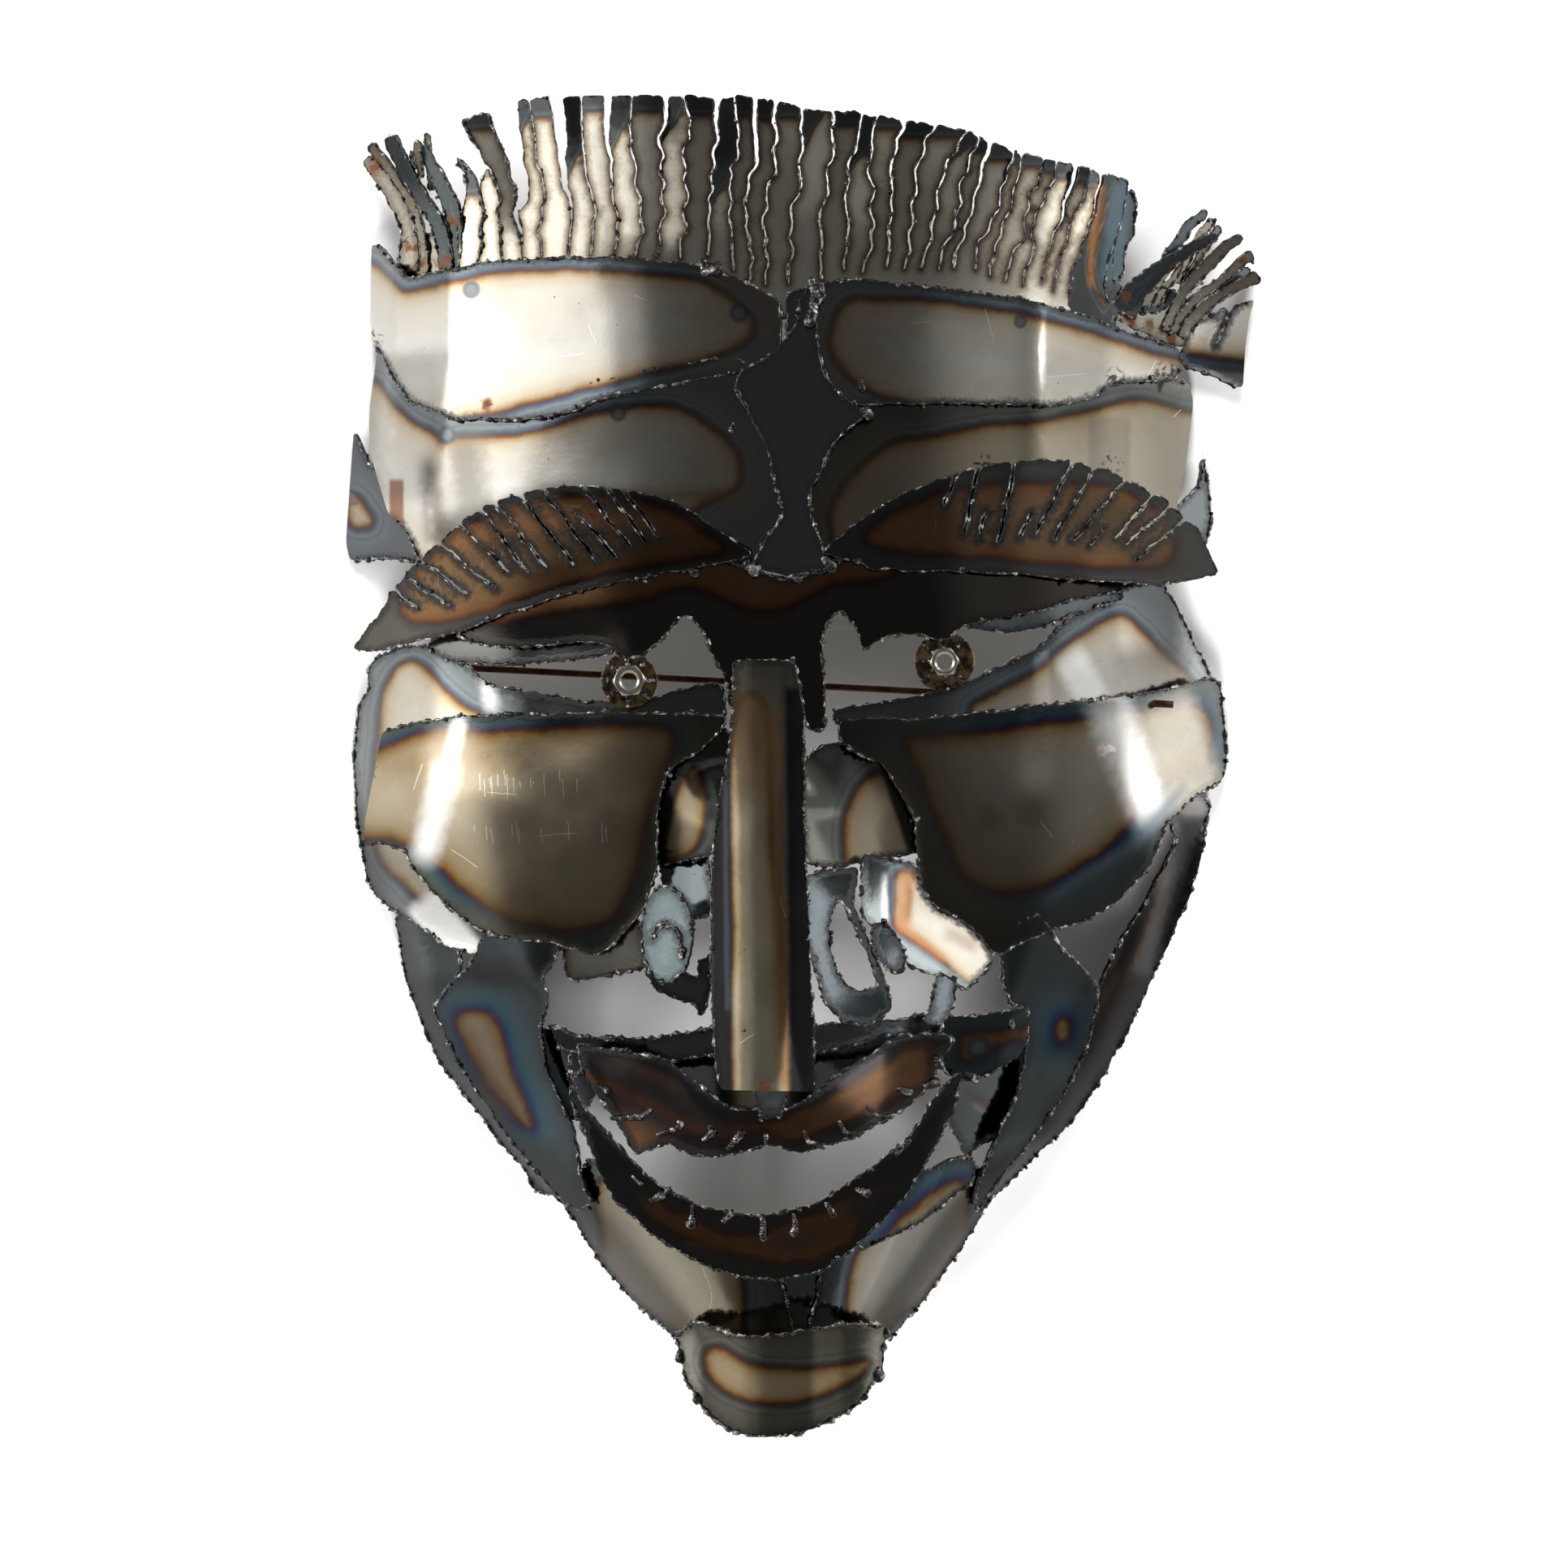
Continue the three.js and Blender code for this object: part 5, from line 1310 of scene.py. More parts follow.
chinRight = {
    "node": "chin_right", "slot": "bare_steel",
    "bare": [[
        (1046, 1690), (1045, 1550), (1100, 1500), (1150, 1460), (1198, 1440), (1192, 1500),
        (1190, 1530), (1168, 1572), (1130, 1612), (1095, 1638), (1070, 1690),
    ]],
}
makePlate(chinRight)

chinRightStrip = {
    "node": "chin_right_strip", "slot": "blue_steel", "look": "deep",
    "bare": [[
        (1075, 1545), (1100, 1512), (1130, 1485), (1155, 1463), (1190, 1450), (1190, 1480),
        (1130, 1520), (1080, 1550),
    ]],
}
makePlate(chinRightStrip)

chinCup = {
    "node": "chin_cup", "slot": "bare_steel", "bead": 0.6, "droplets": 0.35, "tone": (1.35, 1.15, 0.88),
    "lumps": [(1083, 1690, 1083, 1696, 2.2), (838, 1668, 838, 1676, 1.7), (858, 1720, 860, 1726, 1.7)],
    "bare": [[
        (872, 1665), (885, 1660), (900, 1670), (925, 1682), (950, 1687), (1000, 1686), (1040, 1682),
        (1068, 1677), (1072, 1685), (1050, 1700), (1030, 1712), (1000, 1722), (960, 1728),
        (920, 1723), (895, 1712), (878, 1700), (870, 1685),
    ]],
}
makePlate(chinCup)

cornerPlate = {
    "node": "corner_plate", "slot": "bare_steel", "bead": 0.5, "lean": (0.02, 0),
    "bands": [(1460, 462, 1540, 470, 14, 10, 0.85, "silver"), (1455, 443, 1545, 452, 3, 6, 0.7, "blue")],
    "bare": [[(1440, 340), (1440, 424), (1475, 429), (1510, 434), (1560, 438), (1580, 340)]],
    "cold": [[(1552, 362), (1545, 385), (1540, 420), (1537, 474)]],
}
makePlate(cornerPlate)
print("plates done")


def outlinePart(plate, outline, height, number, **changes):
    # A sheet with its own outline in pixels and its own height over the floor
    own = {**plate, "seed": plate["seed"] * 40 + number, **changes}
    loop = toMillimetres(outline)
    turn = np.roll(loop, -1, 0)
    if (loop[:, 0] * turn[:, 1] - turn[:, 0] * loop[:, 1]).sum() < 0:
        loop = loop[::-1]
    loop = evenLoop(loop, own.get("edge", 1.3), own.get("rounding", 1))
    sheet = bentSheet(own, [loop], height)
    return [sheet, edgeBead(own, sheet["chains"])]


def inPixels(points):
    return np.column_stack([
        (points[:, 0] - nutMiddle.x) / traceUnit + tracedNut[0],
        tracedNut[1] - (points[:, 1] - nutMiddle.y) / traceUnit,
    ]).T


# The hair is one band, cut into wavy strips that are bent up and down by turns.
# A cut is a line of places with its width, which holds until another width is given.
solidRise = 1.286  # how far the solids stand over the floor's zero
hair = {
    "node": "hair_top", "slot": "bare_steel", "seed": 61, "edge": 0.8, "spacing": 2.2,
    "look": "char", "sides": 0.45, "wave": (0.0, 9.0), "dents": 0.08, "bead": 0.20, "droplets": 0.03,
    "smoke": 0.03, "tone": (1.12, 1.12, 1.08), "nibble": 0.2, "ragged": 0.15,
    "crust": 0.3, "stiff": 322, "straight": True, "drift": 1.2,
    "bands": [(1386, 226, 1368, 345, 15, 12, 0.85, "teal"), (1357, 226, 1346, 300, 4, 9, 0.7, "orange"),
              (1346, 300, 1345, 350, 4, 9, 0.6, "orange"), (1364, 226, 1352, 300, 2, 5, 0.7, "brown")],
    "leftEdge": [
        (637, 124, 0), (638, 140), (640, 160), (644, 180), (646, 190), (644, 200), (650, 212),
        (652, 225), (651, 240), (652, 246), (645, 253), (637, 262), (641, 272), (644, 285),
        (643, 300), (644, 322),
    ],
    "cuts": [
        [(651, 122, 1.5), (655, 145), (658, 165), (659, 190), (660, 203), (667, 212), (668, 225),
         (672, 243), (666, 258), (669, 268), (661, 285), (667, 297), (667, 318)],
        [(684, 120, 18), (689, 145, 16), (690, 165), (693, 180, 13), (691, 193, 10), (694, 206, 9),
         (695, 218), (695, 229, 8), (702, 241, 6), (704, 257, 4), (705, 270, 3), (702, 290, 2),
         (700, 316, 1.5)],
        [(716, 119, 1.5), (717, 165), (720, 195), (722, 218), (727, 232), (731, 247), (735, 262),
         (731, 275), (731, 290), (728, 315)],
        [(749, 117, 11), (748, 145, 9), (747, 162, 7), (749, 180, 6), (754, 198, 5), (753, 213, 4),
         (755, 230, 3), (754, 243, 2), (758, 257), (763, 266), (760, 280, 1.5), (761, 297),
         (756, 318)],
        [(779, 118, 1.4), (777, 145), (775, 158), (778, 170), (777, 185), (782, 198), (785, 210),
         (781, 222), (785, 237), (791, 246), (789, 262), (790, 275), (794, 287), (787, 297),
         (783, 318)],
        [(820, 120, 6), (821, 140, 5), (819, 156, 4), (811, 168), (812, 180), (819, 190, 3),
         (813, 206), (815, 217), (820, 226, 2), (815, 240), (816, 250, 1.5), (822, 263),
         (814, 275), (812, 285), (814, 302), (809, 318)],
        [(842, 119, 1.5), (846, 135), (852, 148), (848, 160), (851, 171), (841, 181), (841, 195),
         (846, 206), (842, 220), (846, 235), (850, 244), (842, 256), (842, 268), (849, 282),
         (838, 296), (839, 320)],
        [(884, 123, 7), (882, 145, 6), (882, 158, 5), (886, 172, 4), (877, 188, 3.5),
         (882, 205, 3), (875, 220), (880, 234, 2), (872, 245), (876, 260), (872, 275, 1.5),
         (875, 290), (872, 318)],
        [(905, 118, 1.5), (907, 145), (911, 165), (908, 180), (911, 195), (898, 206), (902, 216),
         (898, 235), (903, 250), (897, 262), (899, 272), (902, 285), (902, 300), (904, 335)],
        [(931, 121, 6), (930, 150), (932, 180, 5), (933, 205, 4.5), (922, 218, 3), (923, 232),
         (917, 252, 2.4), (921, 266), (919, 283, 2), (925, 296), (923, 306), (929, 320),
         (924, 331), (926, 342), (921, 350)],
        [(957, 125, 6), (953, 142, 5), (953, 150), (957, 162, 4), (958, 174), (952, 183, 3),
         (955, 197), (957, 208, 2.4), (956, 217), (946, 226), (944, 238), (946, 258), (938, 270, 2),
         (943, 288), (945, 297), (942, 305), (948, 325), (943, 338), (943, 353)],
        [(989, 134, 4), (987, 143), (990, 149), (986, 155, 3.5), (989, 170, 3), (990, 185),
         (984, 197, 2.4), (985, 212), (988, 230), (984, 242), (974, 255), (977, 280, 2),
         (972, 292), (979, 312), (971, 328), (972, 352)],
        [(1026, 137, 4), (1028, 151), (1024, 160, 3), (1027, 178), (1027, 194), (1018, 208, 2.4),
         (1021, 240), (1012, 256, 2), (1009, 273), (1014, 296), (1011, 316), (1012, 346)],
        [(1062, 140, 1.3), (1059, 160), (1055, 185), (1045, 200), (1046, 225), (1041, 242),
         (1042, 256), (1047, 276), (1044, 286), (1046, 300), (1040, 318), (1040, 334)],
        [(1082, 142, 1.5), (1076, 158, 2), (1074, 170), (1075, 185), (1072, 200), (1068, 212),
         (1079, 236), (1070, 256), (1079, 279), (1073, 286), (1075, 307), (1067, 319),
         (1062, 338)],
        [(1114, 151, 6), (1113, 160, 5), (1104, 173, 4), (1105, 185), (1098, 200, 3), (1097, 215),
         (1100, 235, 2.4), (1097, 248), (1100, 262), (1095, 280), (1096, 305, 2), (1092, 331)],
        [(1153, 155, 4), (1150, 161, 3), (1139, 171), (1139, 190, 2.6), (1127, 208), (1130, 238),
         (1122, 251), (1126, 275), (1119, 288), (1122, 312, 2), (1116, 320), (1114, 334)],
        [(1192, 161, 2.5), (1181, 175), (1180, 186), (1167, 196), (1165, 212), (1154, 238),
         (1156, 258), (1147, 277), (1149, 295), (1140, 310, 2), (1134, 334)],
        [(1206, 167, 2), (1205, 181), (1195, 191), (1193, 212), (1181, 226), (1185, 253),
         (1178, 262), (1176, 287), (1162, 303), (1157, 334)],
        [(1220, 176, 6), (1218, 188), (1210, 202, 4.5), (1208, 225, 4), (1200, 240, 3),
         (1199, 260, 2.4), (1188, 281, 2), (1189, 292), (1177, 310), (1175, 332)],
        [(1249, 187, 2.4), (1249, 197), (1241, 206), (1242, 220), (1233, 231), (1232, 257),
         (1221, 270), (1218, 286, 2), (1204, 298), (1202, 335)],
        [(1259, 191, 1.3), (1257, 215), (1248, 236), (1248, 254), (1235, 275), (1234, 290),
         (1226, 302), (1225, 318), (1219, 328), (1220, 342)],
        [(1287, 194, 2.6), (1286, 204), (1281, 215), (1281, 227), (1267, 238), (1270, 256),
         (1262, 267), (1264, 295, 2), (1250, 306), (1238, 347)],
        [(1303, 198, 1.3), (1300, 222), (1289, 236), (1287, 250), (1276, 262), (1275, 275),
         (1270, 287), (1275, 300), (1271, 320), (1262, 335), (1260, 354)],
        [(1327, 202, 8), (1324, 220, 7), (1318, 236), (1312, 247, 6), (1311, 268, 5),
         (1300, 284, 3.5), (1296, 300, 2.5), (1290, 318, 2), (1283, 350, 1.5)],
        [(1346, 205, 1.3), (1340, 226), (1337, 245), (1325, 262), (1318, 280), (1316, 298),
         (1306, 315), (1303, 330), (1297, 360)],
        [(1359, 211, 6), (1358, 225, 5), (1352, 238), (1350, 262, 4), (1343, 275), (1341, 288, 3),
         (1333, 298, 2.5), (1331, 315, 2), (1322, 330), (1318, 362, 1.5)],
    ],
    "rightEdge": [
        (1392, 221, 0), (1389, 240), (1385, 262), (1380, 285), (1374, 305), (1372, 330), (1375, 350),
    ],
    # for each strip: its tip's lift, its twist and the height in the photo where it turns bare; on the
    # strips bent down this dark is partly painted shade
    "strips": [
        (-6, 0.00, 152), (-3, 0.00, 146), (-9, 0.02, 205), (-2, 0.06, 139), (-5, 0.12, 172),
        (3, 0.04, 141), (-5, 0.16, 150), (5, 0.03, 146), (-16, 0.00, 238), (3, 0.00, 146),
        (1, 0.02, 150), (-2, -0.02, 148), (-8, 0.00, 155), (2, 0.02, 158), (-12, 0.00, 195),
        (-3, -0.02, 162), (4, 0.00, 172), (-2, 0.02, 172), (-6, 0.00, 186), (6, 0.00, 190),
        (-4, 0.02, 200), (5, 0.00, 205), (3, -0.05, 208), (4, -0.08, 215), (-4, -0.02, 222),
        (5, 0.00, 226), (-4, 0.00, 233), (0, 0.00, 224),
    ],
    "arc": [(1384, 226), (1371, 246), (1362, 275), (1352, 298), (1347, 325), (1352, 350), (1364, 374)],
}


def hairBase(x, y):
    # The height of the uncut band, an arch from side to side that climbs towards the forehead
    middlePixel, halfPixels, overForehead = 965, 503, 3.84
    middle = np.interp(y, [100, 320, 500], [88, 96, 103]) + overForehead
    share = np.clip(np.abs(x - middlePixel) / halfPixels, 0, 1)
    return middle * (1 - share ** 3.6) ** 0.75 + solidRise


def cutLine(cut):
    # Even steps along a cut: x, y and width
    widths = [entry[2] if len(entry) > 2 else None for entry in cut]
    for number, width in enumerate(widths):
        if width is None:
            widths[number] = widths[number - 1]
    places = np.array([entry[:2] for entry in cut], float)
    ys = np.linspace(places[0, 1], places[-1, 1], max(4, round((places[-1, 1] - places[0, 1]) / 3)))
    xs = np.interp(ys, places[:, 1], places[:, 0])
    xs[1:-1] = 0.25 * xs[:-2] + 0.5 * xs[1:-1] + 0.25 * xs[2:]
    widths = np.maximum(np.interp(ys, places[:, 1], widths), 2.6) if max(widths) > 0 else 0 * ys
    return np.column_stack([xs, ys, widths])


def hairOutline():
    # Up one side of each strip, over its ragged tip and down the other side
    chance = random.Random(7)
    edges = [cutLine(cut) for cut in [hair["leftEdge"], *hair["cuts"], hair["rightEdge"]]]
    outline = [(600, 376), (606, 344)]
    for number, (left, right) in enumerate(zip(edges, edges[1:])):
        up = np.column_stack([left[:, 0] + left[:, 2] / 2, left[:, 1]])[::-1]
        away = np.column_stack([right[:, 0] - right[:, 2] / 2, right[:, 1]])
        outline += up.tolist()
        count = max(2, round((away[0][0] - up[-1][0]) / 4))
        for step in range(1, count):
            x = up[-1][0] + (away[0][0] - up[-1][0]) * step / count
            y = up[-1][1] + (away[0][1] - up[-1][1]) * step / count
            outline.append((x, y + chance.uniform(-3.2, 2.2)))
        outline += away.tolist()
    outline += [(1366, 366), (1380, 380), (1370, 424), (1250, 402), (960, 394), (700, 390)]
    return outline, edges


def stripAt(edges, points):
    # For each place: pixels, the number of its strip and how far it is across it
    x, y = inPixels(points)
    lines = np.array([np.interp(y, edge[:, 1], edge[:, 0]) for edge in edges])
    strip = np.clip((x[None, :] > lines).sum(0) - 1, 0, len(hair["strips"]) - 1)
    middle = (lines[strip, np.arange(len(x))] + lines[strip + 1, np.arange(len(x))]) / 2
    return x, y, strip, x - middle


def hairHeight(edges):
    # The strips bend up and down, more towards their tips, and each has its own twist
    lift, twist, _ = np.array(hair["strips"]).T
    tops = np.array([edge[0, 1] for edge in edges])

    def height(points):
        x, y, strip, across = stripAt(edges, points)
        share = np.maximum(hair["stiff"] - y, 0) / (hair["stiff"] - tops[strip])
        bend = (lift[strip] * 0.8 - 2) * share ** 2
        return hairBase(x, y) - 0.2 + bend + twist[strip] * across * traceUnit * np.minimum(share * 6, 1)

    return height


def hairTint(edges):
    # The tips are blued. On the strips bent down the dark reaches further and slants across them as painted
    # shade, and the last strip turns teal at an arc
    lift, _, bareFrom = np.array(hair["strips"]).T
    arc = toMillimetres(hair["arc"])

    def tint(points):
        x, y, strip, across = stripAt(edges, points)
        slant = np.where(lift[strip] < -4.5, 1.8, 0)
        along = (y - bareFrom[strip] + slant * across) * traceUnit
        aside = distanceTo(points, arc[:-1], arc[1:])
        isLast = strip == len(hair["strips"]) - 1
        right = inPixels(points)[0] > np.interp(y, [p[1] for p in hair["arc"]], [p[0] for p in hair["arc"]])
        teal = np.where(right, -1.2 - aside * 1.3, 0.8 - np.abs(aside - 1.2) * 1.5)
        return np.where(isLast, np.minimum(teal, along - 1), along)

    return tint


def tongueHeight(bend, reach):
    def height(points):
        x, y = inPixels(points)
        return hairBase(x, y) - 0.2 + bend * (np.maximum(hair["stiff"] - y, 0) / reach) ** 2
    return height


def tipTint(bareFrom):
    def tint(points):
        return (inPixels(points)[1] - bareFrom) * traceUnit
    return tint


hairLoop, hairEdges = hairOutline()
hairParts = outlinePart(hair, hairLoop, hairHeight(hairEdges), 0, tintAt=hairTint(hairEdges))
hairTongues = [
    # lift, reach, where it turns bare, outline
    (14, 180, 162, [
        (570, 149), (582, 144), (596, 139), (602, 141), (606, 156), (613, 173), (620, 188),
        (626, 201), (628, 220), (635, 228), (636, 244), (633, 252), (630, 262), (634, 275),
        (640, 290), (643, 318), (640, 346), (616, 350), (620, 319), (617, 300), (617, 278),
        (613, 262), (618, 243), (610, 222), (603, 205), (594, 195), (590, 182), (581, 170),
        (575, 158)]),
    (-1, 180, 190, [
        (599, 205), (608, 222), (616, 243), (611, 262), (615, 278), (615, 300), (618, 319),
        (613, 350), (586, 352), (589, 322), (595, 300), (592, 278), (597, 262), (591, 238),
        (592, 222)]),
    (-6, 180, 240, [
        (561, 190), (571, 198), (583, 214), (589, 232), (590, 240), (595, 262), (590, 278),
        (593, 300), (587, 322), (580, 352), (566, 352), (563, 300), (562, 275), (572, 245),
        (574, 228), (570, 210), (563, 198)]),
    (-5, 110, 500, [
        (1386, 234), (1398, 232), (1403, 245), (1400, 270), (1399, 288), (1390, 298), (1386, 318),
        (1387, 332), (1380, 342), (1384, 352), (1378, 364), (1366, 372), (1362, 350), (1366, 320),
        (1377, 290), (1383, 255)]),
]
for number, (lift, reach, bareFrom, outline) in enumerate(hairTongues):
    hairParts += outlinePart(hair, outline, tongueHeight(lift, reach), number + 1, sides=0.0,
                             tintAt=tipTint(bareFrom), bead=0.45, droplets=0.15)
pieceFrom(hair, hairParts, [plateMaterial(hair), melted])


def ribbon(points):
    # The outline of a strip from its middle line and its widths
    places = np.array(points, float)
    steps = np.linspace(0, len(places) - 1, 4 * len(places))
    x, y, width = (np.interp(steps, np.arange(len(places)), places[:, column]) for column in range(3))
    for values in (x, y):
        values[1:-1] = 0.25 * values[:-2] + 0.5 * values[1:-1] + 0.25 * values[2:]
    ahead = np.column_stack([np.gradient(x), np.gradient(y)])
    ahead /= np.linalg.norm(ahead, axis=1)[:, None]
    aside = np.column_stack([-ahead[:, 1], ahead[:, 0]]) * width[:, None] / 2
    middle = np.column_stack([x, y])
    return np.vstack([middle + aside, (middle - aside)[::-1]])


def tuft(plate, root, stiff, reach, base, strips):
    # A root plate with strips fanned out of it
    def raised(bend, rise=0.0):
        def height(points):
            x, y = inPixels(points)
            share = np.maximum(np.hypot(x - root[0], y - root[1]) - stiff, 0) / reach
            return base(x) + solidRise + rise + bend * share ** 2
        return height

    parts = outlinePart(plate, plate["plate"], raised(0), 0, band=-2)
    for number, (bend, rise, band, points) in enumerate(strips):
        parts += outlinePart(plate, ribbon(points), raised(bend, rise), number + 1, band=band)
    pieceFrom(plate, parts, [plateMaterial(plate), melted])


leftTuft = {
    "node": "hair_left_tuft", "slot": "bare_steel", "seed": 62, "spacing": 1.8,
    "wave": (0.15, 11), "dents": 0.15, "bead": 0.28, "rounding": 2, "look": "bare", "edge": 1.1,
    "stain": 0.2, "crust": 0.45, "tone": (0.68, 0.68, 0.66),
    "plate": [
        (486, 324), (491, 296), (500, 286), (530, 284), (560, 290), (568, 304), (568, 352), (492, 352),
    ],
    "marks": [("rust", 515, 322, 10), ("rust", 543, 326, 14), ("rust", 458, 198, 14), ("rust", 530, 232, 9),
              ("rust", 498, 300, 8), ("rust", 557, 272, 9), ("rust", 512, 300, 9)],
}
tuft(leftTuft, (530, 335), 20, 150, lambda x: 37 + 0.4 * (x - 500), [
    # the tip's lift, the whole strip's rise, the tint's band and the places with their widths
    (-4, 0.4, -3, [(500, 330, 26), (501, 308, 24), (500, 280, 17), (490, 252, 18), (474, 222, 20),
                   (460, 204, 18), (446, 187, 14)]),
    (8, 1.6, -2, [(519, 334, 11), (520, 310, 10), (517, 290, 10), (511, 265, 9), (503, 245, 9),
                  (490, 225, 9), (475, 203, 10), (462, 186, 11), (452, 173, 13)]),
    (-9, 0.2, -3, [(516, 215, 6), (512, 192, 8), (510, 168, 8)]),
    (-12, 0.2, -3, [(528, 230, 6), (526, 195, 6), (522, 158, 6)]),
    (12, 2.0, 8, [(548, 330, 18), (545, 302, 17), (540, 281, 17), (531, 262, 17), (518, 243, 15),
                  (506, 222, 16), (493, 200, 16), (483, 178, 17), (477, 163, 16)]),
    (2, 1.0, 8, [(561, 332, 12), (562, 310, 12), (560, 290, 14), (558, 270, 18), (554, 252, 20),
                 (546, 235, 17), (537, 216, 16), (526, 196, 14), (518, 176, 9)]),
    (-14, 0.2, 8, [(504, 206, 5), (502, 178, 5)]),
])

rightTuft = {
    "node": "hair_right_tuft", "slot": "bare_steel", "seed": 63, "spacing": 1.8,
    "wave": (0.15, 11), "dents": 0.15, "bead": 0.28, "rounding": 2, "look": "bare", "edge": 1.1,
    "stain": 0.1, "crust": 0.45, "tone": (1.20, 1.24, 1.25),
    "plate": [
        (1372, 387), (1378, 366), (1405, 352), (1440, 350), (1464, 362), (1482, 385), (1468, 414),
        (1460, 424), (1440, 418), (1400, 402),
    ],
    "marks": [("rust", 1396, 392, 13), ("rust", 1418, 396, 9), ("rust", 1435, 404, 8),
              ("rust", 1446, 414, 8), ("rust", 1390, 364, 9), ("rust", 1536, 318, 7),
              ("rust", 1452, 326, 10), ("rust", 1518, 368, 8)],
}
tuft(rightTuft, (1425, 405), 30, 100, lambda x: np.interp(x, [1372, 1560], [46, 20]), [
    (-3, 0.2, 6, [(1436, 326, 16), (1449, 304, 14), (1458, 290, 13), (1466, 276, 12), (1476, 266, 11),
                  (1491, 256, 10)]),
    (-6, 0.2, -3, [(1456, 345, 8), (1466, 318, 8), (1474, 300, 9), (1484, 284, 10), (1500, 264, 11)]),
    (-1, 0.6, -3, [(1444, 388, 8), (1455, 362, 7), (1466, 342, 8), (1476, 323, 8), (1486, 305, 9),
                   (1495, 292, 9), (1508, 274, 9)]),
    (-4, 0.3, -3, [(1408, 382, 9), (1420, 362, 9), (1432, 345, 8), (1442, 328, 7), (1453, 312, 5)]),
    (-5, 0.3, -3, [(1424, 378, 8), (1436, 354, 8), (1448, 340, 7), (1459, 320, 5)]),
    (5, 1.2, -3, [(1438, 404, 11), (1450, 377, 11), (1462, 354, 12), (1478, 336, 14), (1495, 320, 14),
                  (1508, 305, 13), (1520, 295, 12), (1535, 287, 11)]),
    (1, 0.8, -3, [(1448, 406, 11), (1462, 381, 11), (1480, 362, 11), (1497, 348, 10), (1512, 340, 10),
                  (1525, 326, 11), (1537, 314, 12), (1549, 308, 13)]),
    (-3, 0.4, 5, [(1494, 362, 9), (1510, 352, 8), (1526, 338, 12), (1545, 326, 10)]),
    (3, 1.0, -2, [(1462, 412, 15), (1470, 393, 15), (1486, 376, 14), (1502, 363, 12), (1520, 352, 11),
                  (1536, 344, 12), (1556, 335, 14)]),
    (10, 1.8, 8, [(1386, 382, 34), (1396, 364, 32), (1408, 350, 26), (1426, 333, 20), (1447, 318, 16),
                  (1468, 304, 13), (1488, 293, 10), (1504, 286, 7)]),
    (10, 2.2, 8, [(1411, 377, 8), (1428, 379, 7), (1441, 373, 6), (1448, 362, 5), (1450, 352, 4)]),
])
print("hair done")


# Eyes and rod
def ringPart(centre, profile, count, shaped):
    # A profile of radius and height turned around an upright line, closed on itself
    angles = np.linspace(0, 2 * np.pi, count, endpoint=False)
    points = []
    for step, (radius, height) in enumerate(profile):
        for angle in angles:
            reach, rise = shaped(step, radius, height, angle)
            points.append((centre[0] + reach * math.cos(angle), centre[1] + reach * math.sin(angle), rise))
    faces = []
    for step in range(len(profile)):
        after = (step + 1) % len(profile)
        for number in range(count):
            beside = (number + 1) % count
            faces.append((step * count + number, step * count + beside,
                          after * count + beside, after * count + number))
    return np.array(points), faces


def simplePiece(name, node, points, faces, material, smooth=True):
    # A piece of one part and one material
    mesh = bpy.data.meshes.new(name)
    mesh.from_pydata((np.asarray(points) * mm).tolist(), [], faces)
    mesh.materials.append(material)
    mesh.polygons.foreach_set("use_smooth", [smooth] * len(mesh.polygons))
    mesh.validate()
    piece = bpy.data.objects.new(name, mesh)
    bpy.context.scene.collection.objects.link(piece)
    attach(piece, "root")
    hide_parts(node)


